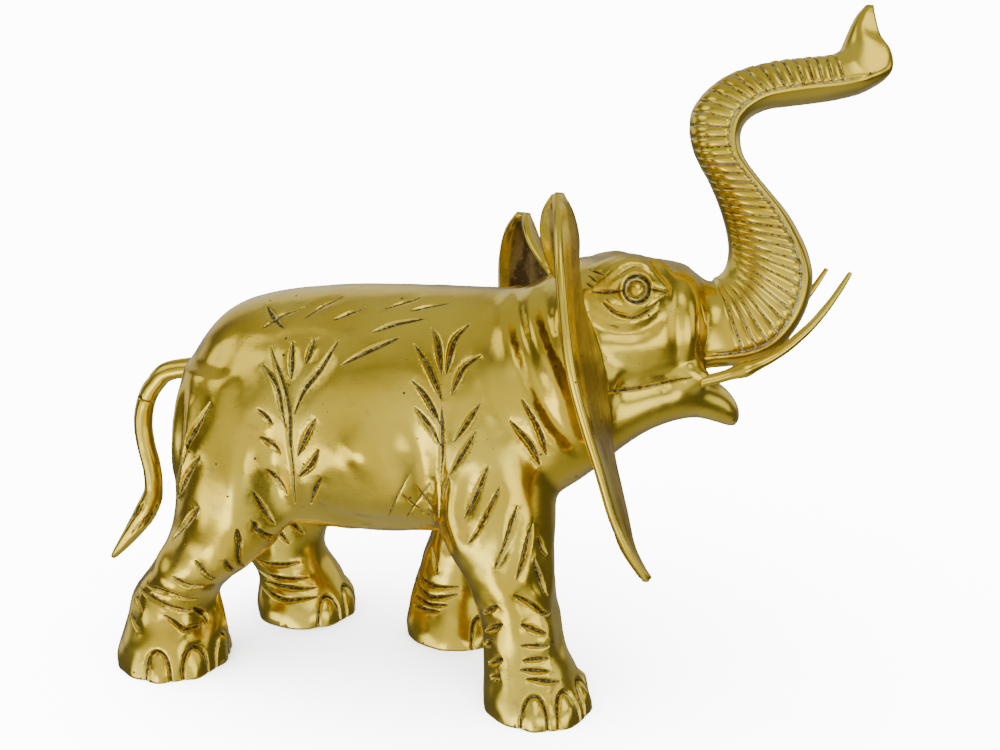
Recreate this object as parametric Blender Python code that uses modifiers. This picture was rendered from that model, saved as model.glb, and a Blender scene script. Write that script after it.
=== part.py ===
"""Brass elephant that walks with its trunk raised and its head turned a little to its left.

The main casting is one solid: body, legs, head, ears and trunk. The tail and the two tusks are
pieces of their own, brazed or soldered on. Metres, +Z up, +X towards the head, +Y the animal's left.

The free form is drawn on a grid of 1/312 of the height, which is one millimetre at the real size.
Head, ears, trunk and tusks are drawn in the head's own frame, which is then turned at the neck.
"""
import math

import bmesh
import bpy
from mathutils import Matrix, Vector
from mathutils.bvhtree import BVHTree

# Driving dimensions, in metres
HEIGHT = 0.312
EAR_THICKNESS = 0.0032
TUSK_RADIUS = 0.0026
TUSK_TIP_RADIUS = 0.0010
TAIL_RADIUS = 0.0046
JOINT_GAP = 0.0003
STROKE_WIDTH = 0.0022
STROKE_DEPTH = 0.0011
STROKE_CLEARANCE = 0.003
RING_DEPTH = 0.0009

# Pose of the head about the neck, in degrees
HEAD_TURN = 17.0
HEAD_ROLL = -10.0

# Counts of what repeats, and mesh sizes
RING_COUNT = 38
TIP_RINGS = 7
RING_SIDES = 10
SECTION_SIDES = 28
TUBE_SIDES = 8
GROOVED_SIDES = 3
EAR_COLUMNS = 5
NAIL_STEPS = 4
VOXEL = 0.0026
BODY_KEPT = 0.042

# Everything below is in grid units, which are millimetres on a figure 312 mm tall
GRID = HEIGHT / 312.0
NECK = Vector((95.0, 0.0, 160.0))
NEAR = -1
FAR = 1

# How square each section is: 2 is an ellipse, more is squarer
TORSO_ROUNDNESS = 2.15
NECK_ROUNDNESS = 2.1
SKULL_ROUNDNESS = 2.7
JAW_ROUNDNESS = 2.2
LEG_ROUNDNESS = 2.0

# Stations along the body: x, top, bottom, half width
TORSO = (
    (-84.5, 126, 100, 12), (-81, 141, 88, 25), (-74.5, 156, 80, 34), (-62, 170.5, 73, 41),
    (-45, 178, 69.5, 45.5), (-22, 182.3, 68, 49), (5, 185.2, 69, 51), (30, 186.3, 70.5, 50),
    (54, 187, 74, 47), (76, 187, 82, 44), (93, 183, 93, 39), (102, 172, 108, 30),
)
# Stations along the neck: x, top, bottom, half width, share of the head's turn
NECK_STATIONS = (
    (72, 187.5, 84, 42, 0.0), (84, 190.5, 88, 40.5, 0.3), (96, 196.5, 95, 38.5, 0.65),
    (108, 201, 104, 36, 1.0), (118, 200, 112, 32, 1.0),
)
# Stations along the head, in its own frame: x, top, bottom, half width
SKULL = (
    (92, 190, 158, 30), (98, 198, 150, 35), (106, 202.5, 146.5, 36.5), (118, 203.5, 147.5, 36.5),
    (130, 203.5, 148.5, 35.5), (141, 201.8, 150, 33.5), (149, 200.5, 151.5, 31), (155, 197, 153.5, 27),
    (160, 191, 157, 20),
)
JAW = (
    (100, 158, 101, 31), (112, 160, 107.5, 30), (124, 160, 117, 28.5), (136, 160, 124.5, 27),
    (149, 159, 129.3, 24), (158, 153, 130.3, 18.5), (165, 148.5, 128.8, 14.5), (171, 144.5, 126.8, 11.5),
    (176, 139, 125.5, 8), (179, 132.5, 127, 3.5),
)
# Lumps of the head, as centre and radii: brow, eye mound and tusk boss on both sides, and the trunk's root
HEAD_LUMPS = (
    ((126, 25, 195.5), (19, 11, 9.5)), ((127, 32, 189), (16, 5.5, 11)), ((153, 22, 151.5), (10, 7.5, 7.5)),
)
TRUNK_ROOT_LUMP = ((148, 0, 188), (14, 21, 12.5))
# Stations along the trunk, in the head's frame: back x, z, under side x, z, half width, twist in degrees
TRUNK = (
    (148, 194, 150, 152, 20, 0), (160, 193.8, 166, 153, 20, 0), (165.5, 193, 181, 155, 19.5, 0),
    (169, 194.3, 192.5, 159.5, 19.2, 1), (171.3, 197, 201, 168.5, 18.8, 2),
    (172.6, 201.5, 207, 179.5, 18.3, 4), (172.8, 207, 209.6, 192, 17.5, 6),
    (171.8, 213, 208, 202.5, 16.5, 8), (169.8, 220, 204, 212, 15.5, 9), (166.8, 228, 198, 222, 14.5, 10),
    (163, 236, 191, 230.5, 13.7, 11), (159, 243, 184.3, 238.5, 13, 12), (156.2, 249.5, 179, 246, 12.6, 13),
    (154.7, 257, 177, 253.3, 12.3, 14), (155.3, 265.5, 178, 259.2, 12.1, 15),
    (159.5, 272.6, 181.3, 263.4, 11.9, 16), (166, 278.6, 185.8, 266.1, 11.6, 17),
    (174, 283, 191, 267.9, 11.2, 18), (184, 285.9, 197.3, 268.8, 11, 18),
    (194.6, 287.9, 204.5, 269.7, 10.9, 18), (205, 289, 212, 270.6, 10.9, 17),
    (215, 289.9, 222, 272.1, 11.2, 15), (220, 291.8, 233, 275, 12, 12), (222, 295, 242.5, 281.5, 12.2, 9),
    (223.6, 299, 242.3, 290.5, 11, 6), (225.3, 303, 237.5, 298, 8.5, 3), (228, 307.8, 235.2, 306.5, 5.5, 0),
    (231.5, 311.6, 234.7, 311.2, 2.5, 0),
)
# Shares of the trunk's length that its grooves span, and of the pitch where a groove starts and bottoms
RINGS_START = 0.085
RINGS_END = 0.78
GROOVE_START = 0.62
GROOVE_BOTTOM = 0.81
# The under side is squared off by these powers
UNDER_FLATNESS = 0.42
UNDER_CORNER = 0.75

# Leg stations: height, x, y outwards, half length, half width
NEAR_HIND = (
    (-6, -87.2, 33, 27, 26.5), (5, -87.2, 33, 27.4, 27), (12, -86.4, 33, 26.6, 26),
    (21, -85.2, 33, 24.2, 23.5), (30, -85, 33, 21.6, 21.5), (38, -83, 33, 20.9, 21),
    (47, -75.8, 33, 21.6, 21.5), (61, -62.5, 32, 25.5, 23), (80, -51.5, 29, 29.5, 25),
    (103, -48.5, 25, 32.5, 28), (128, -49, 21, 31.5, 29), (150, -50, 17, 26, 27),
)
FAR_HIND = (
    (-6, -45, 33, 25.5, 25.5), (5, -45, 33, 25.8, 25.8), (12, -46, 33, 24.5, 24.5),
    (21, -48.5, 33, 21, 21), (30, -54, 33, 20.5, 20.5), (38, -57, 33, 21.5, 21.5),
    (47, -57, 33, 24, 23), (61, -55, 32, 28, 24), (80, -51, 29, 30, 25),
    (103, -48.5, 25, 32, 28), (128, -49, 21, 31.5, 29), (150, -50, 17, 26, 27),
)
NEAR_FRONT = (
    (-6, 96, 30, 25, 24.5), (5, 95.5, 30, 25.3, 25), (13, 93.1, 30, 22.8, 22.5),
    (30, 89, 30, 18.6, 19), (40, 87.7, 30, 17.7, 18.5), (51, 85.3, 30, 18.3, 19),
    (63, 82.3, 30, 20.8, 20.5), (81, 76.5, 29, 26, 22.5), (103, 72, 26, 30, 25),
    (128, 68, 22, 31, 27.5), (150, 66, 18, 26, 26),
)
FAR_FRONT = (
    (-6, 38.5, 30, 24.5, 24.5), (5, 38.3, 30, 24.8, 24.8), (13, 37.6, 30, 22.8, 22.5),
    (24, 36, 30, 19.8, 19.5), (38, 38.8, 30, 18.3, 18.5), (53, 45.4, 30, 19.8, 19.5),
    (66, 52, 30, 22, 21), (82, 60, 29, 26, 22.5), (103, 65, 26, 30, 25),
    (128, 66, 22, 31, 27.5), (150, 66, 18, 26, 26),
)
LEGS = ((NEAR_HIND, NEAR), (FAR_HIND, FAR), (NEAR_FRONT, NEAR), (FAR_FRONT, FAR))

# Toenails: directions from straight ahead in degrees, how far each swells, and its arched groove
NAIL_ANGLES = (80, 40, 0, -40)
NAIL_INSET = 4.8
NAIL_MIDDLE = 2.0
NAIL_RADII = (6, 6, 12)
NAIL_HALF_WIDTH = 6.4
NAIL_LENGTH = 15.5

# Ear stations from top to tip: z, inner y, outer y, inner x, outer x, forward bulge
EAR = (
    (229, 54, 65, 90, 90, 3), (222, 46, 76, 87, 90, 8), (212, 38, 83, 87.5, 90, 10),
    (200, 29, 87, 92, 90.5, 8), (180, 29, 89, 104, 92, 4), (160, 29, 88, 112, 95, 2.5),
    (140, 29, 84, 115, 100.5, 2), (120, 31, 79, 116, 107, 3), (100, 42, 73, 116, 113, 5),
    (85, 51, 69, 119, 120, 3), (73, 58, 65, 127, 128, 1),
)
EAR_ROOT = (112, 33)
EAR_MIDDLE = 150
# Side of each ear, sweep backwards in degrees, share of the full height above and below the ear's middle
EARS = ((NEAR, 0.0, 1.0, 1.0), (FAR, 20.0, 0.9, 0.76))
# Centre lines of the tusk, in the head's frame, and of the tail: x, y, z
TUSK_LINE = (
    (156, 24, 149), (170, 23.5, 152.6), (187.5, 22, 159.3), (203, 21, 171),
    (214, 20, 183.5), (222, 19, 195.3),
)
TAIL_LINE = (
    (-74, 0, 141), (-97, 0, 136.5), (-105.5, 0, 129.5), (-110.8, 0, 121.5), (-114, 0, 110), (-113.8, 0, 98),
    (-111.3, 0, 84), (-111.6, 0, 72), (-116, 0, 61.5), (-124, 0, 50), (-138, 0, 32.5),
)
# Point of the tail's line where it is brazed on, how much thicker its root is, and the tuft
TAIL_SEAM = 3
TAIL_ROOT_SWELL = 0.1
TUFT_START = 0.68
TUFT_SWELL = 0.28
TUFT_TAPER = 0.72
# How the tusk thins to its tip, and how many points of its line are let into the socket
TUSK_TAPER = 2.2
SOCKET_POINTS = 4

# The eye: centre, distance of the skin from the middle of the head, almond-shaped field and round bead
EYE = (127.5, 189.5)
EYE_OUT = 37.5
EYE_FIELD = (12.5, 2.7, 5.25)
EYE_BEAD = (4.4, 3.6, 4.4)
EYE_BEAD_INSET = 1.4

# Strokes longer than this have three segments, others two; their ends are this share of the full depth
STROKE_SHORT = 34.0
STROKE_END = 0.12
# Distances from the middle plane from which strokes are laid on the flanks, and on the inside of the legs
OUTSIDE = 120.0
FACING = 5.0

# A plant: foot and top of the stem, bow, then blades as share of the stem, length and lean in degrees.
# Places are x and z on the flank.
PLANTS = (
    ((-14, 90), (-27, 164), -5,
     ((0.03, 20, 30), (0.2, 20, 30), (0.37, 20, 32), (0.6, 36, 38), (0.78, 15, 40))),
    ((53, 96), (53, 168), 2,
     ((0.3, 23, 35), (0.5, 21, 35), (0.75, 25, 38), (0.35, -24, 22), (0.6, -25, 24))),
)
# Rows of strokes: first start x and z, first end x and z, step between strokes in x and z, count, bow
FLANK_ROWS = (
    (-29, 138, -22, 131, 1, -14, 3, 1), (-32, 99, -26, 80, -5, -16, 2, 1),
)
BACK_ROWS = (
    (-34, 168, -15, 177, 20, 4, 2, 3), (10, 160, 34, 172, 11, 11, 2, 2), (1, 173, 14, 178, 23, 3, 3, 1),
)
NEAR_LEG_ROWS = (
    (78, 122, 67, 97, 6.5, -9, 4, 2), (85, 141, 98, 120, 5, 9, 2, -2), (91, 50, 104, 43, 0.3, -11, 3, 1),
    (-52, 139, -68, 108, -4, -24, 3, 3), (-40, 81, -40, 64, 7, 4, 2, 1), (-88, 44, -66, 38, 0, -8, 2, -1),
)
# Rows on the far legs, seen between the near ones, cut into the side that faces the near side
FAR_LEG_ROWS = (
    (-66, 26, -38, 25, 4, -6, 2, -1), (19, 26, 42, 23, 0, -6, 2, -1),
)


def empty_scene():
    """Remove every object that the file starts with."""
    for old in list(bpy.data.objects):
        bpy.data.objects.remove(old, do_unlink=True)


def new_collection(name):
    collection = bpy.data.collections.new(name)
    bpy.context.scene.collection.children.link(collection)
    return collection


def brass(name, color, roughness):
    material = bpy.data.materials.new(name)
    material.use_nodes = True
    shader = material.node_tree.nodes["Principled BSDF"]
    shader.inputs["Base Color"].default_value = (*color, 1.0)
    shader.inputs["Metallic"].default_value = 1.0
    shader.inputs["Roughness"].default_value = roughness
    return material


def head_turn(share=1.0):
    """Matrix that carries a point of the head's frame into the body's, about the neck."""
    turn = Matrix.Rotation(math.radians(HEAD_TURN * share), 4, "Z")
    roll = Matrix.Rotation(math.radians(HEAD_ROLL * share), 4, "X")
    return Matrix.Translation(NECK) @ turn @ roll @ Matrix.Translation(-NECK)


def smooth_row(rows, steps):
    """Rows of numbers with `steps` - 1 new rows between each pair, on a Catmull-Rom curve."""
    result = []
    last = len(rows) - 1
    for i in range(last):
        before, start, end, after = (rows[max(0, min(last, k))] for k in (i - 1, i, i + 1, i + 2))
        for step in range(steps):
            t = step / steps
            weights = (
                -0.5 * t + t * t - 0.5 * t ** 3, 1 - 2.5 * t * t + 1.5 * t ** 3,
                0.5 * t + 2 * t * t - 1.5 * t ** 3, -0.5 * t * t + 0.5 * t ** 3,
            )
            result.append(tuple(
                weights[0] * a + weights[1] * b + weights[2] * c + weights[3] * d
                for a, b, c, d in zip(before, start, end, after)))
    result.append(tuple(rows[-1]))
    return result


def signed_power(value, power):
    return math.copysign(abs(value) ** power, value)


def oval(center, across, up, roundness, sides=SECTION_SIDES):
    """Points of a superellipse about `center`; a roundness of 2 is an ellipse, more is squarer."""
    points = []
    for i in range(sides):
        angle = 2 * math.pi * (i + 0.5) / sides
        side = signed_power(math.cos(angle), 2 / roundness)
        rise = signed_power(math.sin(angle), 2 / roundness)
        points.append(center + across * side + up * rise)
    return points


def mesh_object(name, collection, build):
    """Make an object from a bmesh with its faces turned outwards."""
    bmesh.ops.recalc_face_normals(build, faces=build.faces)
    mesh = bpy.data.meshes.new(name)
    build.to_mesh(mesh)
    build.free()
    made = bpy.data.objects.new(name, mesh)
    collection.objects.link(made)
    return made


def add_loft(build, rings):
    """Add a closed skin through rings of equally many points."""
    rows = [[build.verts.new(point) for point in ring] for ring in rings]
    for row, following in zip(rows, rows[1:]):
        for i in range(len(row)):
            j = (i + 1) % len(row)
            build.faces.new((row[i], row[j], following[j], following[i]))
    build.faces.new(list(reversed(rows[0])))
    build.faces.new(rows[-1])


def upright_rings(stations, roundness, turn_of):
    """Rings across the x axis; `turn_of` gives the matrix for a station."""
    rings = []
    for station in smooth_row(stations, 3):
        x, top, bottom, half = station[:4]
        center = Vector((x, 0, (top + bottom) / 2))
        ring = oval(center, Vector((0, half, 0)), Vector((0, 0, (top - bottom) / 2)), roundness)
        matrix = turn_of(station)
        rings.append([matrix @ point * GRID for point in ring])
    return rings


def leg_rings(stations, side):
    rings = []
    for height, x, y, half_length, half_width in smooth_row(stations, 3):
        center = Vector((x, side * y, height))
        ring = oval(center, Vector((half_length, 0, 0)), Vector((0, half_width, 0)), LEG_ROUNDNESS)
        rings.append([point * GRID for point in ring])
    return rings


def add_ball(build, center, radii, matrix, segments=16):
    """Add an ellipsoid, with its centre and radii on the grid."""
    scale = Matrix.Diagonal((*radii, 1.0))
    place = Matrix.Scale(GRID, 4) @ matrix @ Matrix.Translation(Vector(center)) @ scale
    bmesh.ops.create_uvsphere(build, u_segments=segments, v_segments=segments // 2, radius=1.0, matrix=place)


def nail_places():
    """Foot centre, radius and direction of each toenail."""
    places = []
    for stations, side in LEGS:
        height, x, y, half_length, half_width = stations[1]
        for angle in NAIL_ANGLES:
            direction = math.radians(angle) * side
            outward = Vector((math.cos(direction), math.sin(direction), 0))
            places.append((Vector((x, side * y, 0)), half_length, outward))
    return places


def body_masses(collection):
    """The rounded masses of body, legs and head, fused by remeshing them as one skin."""
    build = bmesh.new()
    add_loft(build, upright_rings(TORSO, TORSO_ROUNDNESS, lambda station: Matrix.Identity(4)))
    add_loft(build, upright_rings(NECK_STATIONS, NECK_ROUNDNESS, lambda station: head_turn(station[4])))
    add_loft(build, upright_rings(SKULL, SKULL_ROUNDNESS, lambda station: head_turn()))
    add_loft(build, upright_rings(JAW, JAW_ROUNDNESS, lambda station: head_turn()))
    for stations, side in LEGS:
        add_loft(build, leg_rings(stations, side))
    for side in (NEAR, FAR):
        for (x, y, z), radii in HEAD_LUMPS:
            add_ball(build, (x, side * y, z), radii, head_turn())
    add_ball(build, *TRUNK_ROOT_LUMP, head_turn())
    for foot, radius, outward in nail_places():
        center = foot + outward * (radius - NAIL_INSET) + Vector((0, 0, NAIL_MIDDLE))
        add_ball(build, center, NAIL_RADII, Matrix.Identity(4), 12)
    body = mesh_object("elephant_body", collection, build)
    join = body.modifiers.new("Fuse masses", "REMESH")
    join.mode = "VOXEL"
    join.voxel_size = VOXEL
    soften = body.modifiers.new("Soften", "SMOOTH")
    soften.factor = 0.5
    soften.iterations = 5
    thin = body.modifiers.new("Fewer faces", "DECIMATE")
    thin.ratio = BODY_KEPT
    return body


def trunk_rings():
    """Rings of the trunk: rounded back and sides with fine grooves, flat under side."""
    stations = smooth_row(TRUNK, 6)
    lengths = [0.0]
    for before, after in zip(stations, stations[1:]):
        step = math.dist(before[0:2], after[0:2]) + math.dist(before[2:4], after[2:4])
        lengths.append(lengths[-1] + step / 2)
    marks = [(0.0, 0.0), (RINGS_START * 0.6, 0.0)]
    pitch = (RINGS_END - RINGS_START) / RING_COUNT
    for ring in range(RING_COUNT):
        start = RINGS_START + ring * pitch
        marks += [(start, 0.0), (start + GROOVE_START * pitch, 0.0), (start + GROOVE_BOTTOM * pitch, 1.0)]
    marks += [(RINGS_END + (1 - RINGS_END) * i / TIP_RINGS, 0.0) for i in range(TIP_RINGS + 1)]
    return [trunk_ring(station_at(stations, lengths, mark * lengths[-1]), cut) for mark, cut in marks]


def station_at(stations, lengths, distance):
    """Station values at a distance along the line."""
    index = 1
    while index < len(lengths) - 1 and lengths[index] < distance:
        index += 1
    share = (distance - lengths[index - 1]) / (lengths[index] - lengths[index - 1])
    return tuple(a + (b - a) * share for a, b in zip(stations[index - 1], stations[index]))


def trunk_ring(station, cut):
    """One ring, grooved all round but for its flat under side; `cut` is 1 at the bottom of a groove."""
    back_x, back_z, under_x, under_z, wide, twist = station
    center = Vector(((back_x + under_x) / 2, 0, (back_z + under_z) / 2))
    back = Vector((back_x, 0, back_z)) - center
    thick = back.length
    back.normalize()
    side_way = Vector((0, 1, 0))
    turn = math.radians(twist)
    back, side_way = (
        back * math.cos(turn) + side_way * math.sin(turn), side_way * math.cos(turn) - back * math.sin(turn))
    points = []
    for i in range(RING_SIDES):
        angle = 2 * math.pi * (i + 0.5) / RING_SIDES
        rise, side = math.cos(angle), math.sin(angle)
        grooved = min(i, RING_SIDES - 1 - i) < GROOVED_SIDES
        sunk = 1.0 - cut * grooved * RING_DEPTH / GRID / thick
        if rise < 0:
            rise = signed_power(rise, UNDER_FLATNESS)
            side = signed_power(side, UNDER_CORNER)
        reach = (back * (rise * thick) + side_way * (side * wide)) * sunk
        points.append(head_turn() @ (center + reach) * GRID)
    return points


def add_trunk(collection):
    build = bmesh.new()
    add_loft(build, trunk_rings())
    return mesh_object("Trunk shape", collection, build)


def ear_point(side, sweep, above, below, station, share):
    """Point of the ear's middle surface; `share` runs from its root side to its rim."""
    z, inner_y, outer_y, inner_x, outer_x, bulge = station
    x = inner_x + (outer_x - inner_x) * share + bulge * 4 * share * (1 - share)
    y = inner_y + (outer_y - inner_y) * share
    angle = math.radians(sweep)
    ahead, out = x - EAR_ROOT[0], y - EAR_ROOT[1]
    x = EAR_ROOT[0] + ahead * math.cos(angle) - out * math.sin(angle)
    y = EAR_ROOT[1] + ahead * math.sin(angle) + out * math.cos(angle)
    tall = above if z > EAR_MIDDLE else below
    return head_turn() @ Vector((x, side * y, EAR_MIDDLE + (z - EAR_MIDDLE) * tall)) * GRID


def add_ear(collection, side, sweep, above, below):
    """A bowed shell, free all round except where it enters the side of the head."""
    build = bmesh.new()
    grid = [
        [build.verts.new(ear_point(side, sweep, above, below, station, column / EAR_COLUMNS))
         for column in range(EAR_COLUMNS + 1)]
        for station in smooth_row(EAR, 2)]
    for upper, lower in zip(grid, grid[1:]):
        for column in range(EAR_COLUMNS):
            build.faces.new((upper[column], upper[column + 1], lower[column + 1], lower[column]))
    ear = mesh_object("Ear shape", collection, build)
    shell = ear.modifiers.new("Thickness", "SOLIDIFY")
    shell.thickness = EAR_THICKNESS
    shell.offset = 0
    shell.use_even_offset = True
    return ear


def tube_rings(points, radii):
    """Rings across a bent centre line, each square to it."""
    rings = []
    up = Vector((0, 1, 0))
    for i, (point, radius) in enumerate(zip(points, radii)):
        along = (points[min(i + 1, len(points) - 1)] - points[max(i - 1, 0)]).normalized()
        across = along.cross(up).normalized()
        rise = across.cross(along).normalized()
        ring = []
        for k in range(TUBE_SIDES):
            angle = 2 * math.pi * k / TUBE_SIDES
            ring.append(point + (across * math.cos(angle) + rise * math.sin(angle)) * radius)
        rings.append(ring)
    return rings


def tail_points():
    return [Vector(point) * GRID for point in smooth_row(TAIL_LINE, 2)]


def tail_radii(count):
    """Tail thickness: even down to the tuft, which swells and closes to a point."""
    radii = []
    for i in range(count):
        share = i / (count - 1)
        radius = TAIL_RADIUS * (1 + TAIL_ROOT_SWELL * max(0.0, 1 - 5 * share))
        if share > TUFT_START:
            tuft = (share - TUFT_START) / (1 - TUFT_START)
            radius *= 1 + TUFT_SWELL * math.sin(math.pi * tuft) - TUFT_TAPER * tuft ** 3
        radii.append(radius)
    return radii


def add_tail_stub(collection):
    """The cast stub of the tail, from inside the rump to the brazed seam."""
    seam = TAIL_SEAM * 2
    points = tail_points()
    radii = tail_radii(len(points))
    build = bmesh.new()
    add_loft(build, tube_rings(points, radii)[:seam + 1])
    return mesh_object("Tail stub shape", collection, build)


def make_tail(collection):
    seam = TAIL_SEAM * 2
    points = tail_points()
    rings = tube_rings(points, tail_radii(len(points)))[seam:]
    away = (points[seam + 1] - points[seam - 1]).normalized() * JOINT_GAP
    rings[0] = [point + away for point in rings[0]]
    build = bmesh.new()
    add_loft(build, rings)
    return mesh_object("tail", collection, build)


def tusk_points(side):
    line = smooth_row(TUSK_LINE, 2)
    return [head_turn() @ Vector((x, side * y, z)) * GRID for x, y, z in line]


def make_tusk(collection, side, name):
    points = tusk_points(side)
    count = len(points)
    radii = []
    for i in range(count):
        share = i / (count - 1)
        radii.append(TUSK_RADIUS + (TUSK_TIP_RADIUS - TUSK_RADIUS) * share ** TUSK_TAPER)
    build = bmesh.new()
    add_loft(build, tube_rings(points, radii))
    return mesh_object(name, collection, build)


def add_socket(collection, side):
    """Blind socket that takes the root of a tusk with the joint gap all round."""
    points = tusk_points(side)
    along = (points[1] - points[0]).normalized()
    wide = (TUSK_RADIUS + JOINT_GAP) / math.cos(math.pi / TUBE_SIDES)
    path = [points[0] - along * JOINT_GAP] + points[1:SOCKET_POINTS]
    build = bmesh.new()
    add_loft(build, tube_rings(path, [wide] * len(path)))
    return mesh_object("Tusk socket", collection, build)


def boolean(target, operation, other):
    step = target.modifiers.new(operation.title(), "BOOLEAN")
    step.operation = operation
    step.solver = "EXACT"
    step.operand_type = "COLLECTION"
    step.collection = other
    return step


def add_floor_cut(collection):
    """A block under the floor that cuts all four soles flat at one height."""
    build = bmesh.new()
    below = Matrix.Translation((0, 0, -HEIGHT)) @ Matrix.Scale(2 * HEIGHT, 4)
    bmesh.ops.create_cube(build, size=1.0, matrix=below)
    return mesh_object("Below the feet", collection, build)


def plant_strokes():
    """Strokes of the chased plants: stems with leaf-like blades on one side."""
    strokes = []
    for foot, top, bow, blades in PLANTS:
        foot, top = Vector(foot), Vector(top)
        strokes.append((foot, top, bow))
        rise = (top - foot).normalized()
        for share, length, lean in blades:
            angle = math.radians(lean) * (1 if length > 0 else -1)
            way = Vector((rise.x * math.cos(angle) + rise.y * math.sin(angle),
                          rise.y * math.cos(angle) - rise.x * math.sin(angle)))
            root = foot.lerp(top, share)
            strokes.append((root, root + way * abs(length), -2.0 if length > 0 else 2.0))
    return strokes


def row_strokes(rows):
    strokes = []
    for start_x, start_z, end_x, end_z, step_x, step_z, count, bow in rows:
        for i in range(count):
            shift = Vector((step_x, step_z)) * i
            strokes.append((Vector((start_x, start_z)) + shift, Vector((end_x, end_z)) + shift, bow))
    return strokes


def stroke_path(start, end, bow):
    """Points of one stroke in the side view, bowed to its left."""
    along = end - start
    count = 2 if along.length < STROKE_SHORT else 3
    across = Vector((-along.y, along.x)).normalized()
    for i in range(count + 1):
        share = i / count
        yield share, start + along * share + across * (bow * 4 * share * (1 - share))


def surface_points(tree, path, from_y):
    """Where a path of the side view meets the skin, seen from `from_y`, with the skin's normals."""
    result = []
    way = Vector((0, -math.copysign(1, from_y), 0))
    for share, spot in path:
        origin = Vector((spot.x * GRID, from_y * GRID, spot.y * GRID))
        point, normal, index, distance = tree.ray_cast(origin, way)
        if point is None:
            return None
        result.append((share, point, normal))
    return result


def add_groove(collection, spots):
    """A tapered V cutter that follows the skin and stands clear of it, shallow at both ends."""
    rings = []
    for i, (share, point, normal) in enumerate(spots):
        ahead = spots[min(i + 1, len(spots) - 1)][1] - spots[max(i - 1, 0)][1]
        across = normal.cross(ahead).normalized()
        depth = STROKE_DEPTH * (STROKE_END + (1 - STROKE_END) * math.sin(math.pi * share))
        wide = across * (STROKE_WIDTH / 2 / STROKE_DEPTH * (STROKE_CLEARANCE + depth))
        top = point + normal * STROKE_CLEARANCE
        rings.append([top + wide, top - wide, point - normal * depth])
    build = bmesh.new()
    add_loft(build, rings)
    return mesh_object("Groove", collection, build)


def add_strokes(collection, body):
    tree = BVHTree.FromObject(body, bpy.context.evaluated_depsgraph_get())
    flank = plant_strokes() + row_strokes(FLANK_ROWS) + row_strokes(BACK_ROWS)
    jobs = [(stroke, NEAR * OUTSIDE) for stroke in flank + row_strokes(NEAR_LEG_ROWS)]
    jobs += [(stroke, FAR * OUTSIDE) for stroke in plant_strokes()]
    jobs += [(stroke, -FACING) for stroke in row_strokes(FAR_LEG_ROWS)]
    for (start, end, bow), from_y in jobs:
        spots = surface_points(tree, stroke_path(start, end, bow), from_y)
        if spots:
            add_groove(collection, spots)
    add_nail_arches(collection, tree)


def add_nail_arches(collection, tree):
    """An arched groove round each toenail, cut into the front of the foot."""
    for foot, radius, outward in nail_places():
        sideways = outward.cross(Vector((0, 0, 1)))
        spots = []
        for i in range(NAIL_STEPS + 1):
            angle = math.pi * i / NAIL_STEPS
            spot = foot + sideways * (NAIL_HALF_WIDTH * math.cos(angle))
            spot.z = 1.0 + (NAIL_LENGTH - 1.0) * math.sin(angle)
            origin = (spot + outward * radius * 2) * GRID
            point, normal, index, distance = tree.ray_cast(origin, -outward)
            if point is None:
                break
            spots.append((0.2 + 0.6 * i / NAIL_STEPS, point, normal))
        if len(spots) == NAIL_STEPS + 1:
            add_groove(collection, spots)


def add_eyes(almonds, beads):
    """An almond-shaped sunk field with a round bead in it, on each side of the head."""
    for side in (NEAR, FAR):
        center = Vector((EYE[0], side * EYE_OUT, EYE[1]))
        build = bmesh.new()
        add_ball(build, center, EYE_FIELD, head_turn(), 14)
        mesh_object("Eye field", almonds, build)
        build = bmesh.new()
        add_ball(build, center - Vector((0, side * EYE_BEAD_INSET, 0)), EYE_BEAD, head_turn(), 12)
        mesh_object("Eye bead", beads, build)


def hide_helpers(collection):
    for helper in collection.objects:
        helper.hide_render = True
        helper.display_type = "WIRE"


def center_on_floor(parts, helpers):
    """Carry everything on one empty, so that the origin is under the middle of the whole figure."""
    graph = bpy.context.evaluated_depsgraph_get()
    corners = [piece.evaluated_get(graph).matrix_world @ Vector(corner)
               for piece in parts.objects for corner in piece.evaluated_get(graph).bound_box]
    middle = [(min(c[axis] for c in corners) + max(c[axis] for c in corners)) / 2 for axis in (0, 1)]
    center = bpy.data.objects.new("Center", None)
    bpy.context.scene.collection.objects.link(center)
    center.location = (-middle[0], -middle[1], 0)
    for collection in (parts, *helpers):
        for piece in collection.objects:
            piece.parent = center


def main():
    empty_scene()
    parts = new_collection("Brass elephant")
    joined = new_collection("Joined shapes")
    grooves = new_collection("Groove cutters")
    fields = new_collection("Plain cutters")
    beads = new_collection("Eye beads")
    body = body_masses(parts)
    add_strokes(grooves, body)
    add_trunk(joined)
    for side, sweep, above, below in EARS:
        add_ear(joined, side, sweep, above, below)
    add_tail_stub(joined)
    add_floor_cut(fields)
    for side in (NEAR, FAR):
        add_socket(fields, side)
    add_eyes(fields, beads)
    boolean(body, "UNION", joined)
    boolean(body, "DIFFERENCE", fields)
    boolean(body, "UNION", beads)
    boolean(body, "DIFFERENCE", grooves)
    tail = make_tail(parts)
    tusks = [make_tusk(parts, NEAR, "tusk_right"), make_tusk(parts, FAR, "tusk_left")]
    cast = brass("Polished brass", (0.62, 0.43, 0.13), 0.2)
    for piece in [body, tail, *tusks]:
        piece.data.materials.append(cast)
    for helpers in (joined, fields, beads, grooves):
        hide_helpers(helpers)
    center_on_floor(parts, (joined, fields, beads, grooves))


main()
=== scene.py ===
import math

import bmesh
import bpy
import numpy as np
from mathutils import Matrix, Vector, noise
from mathutils.bvhtree import BVHTree
from mathutils.kdtree import KDTree


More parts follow.
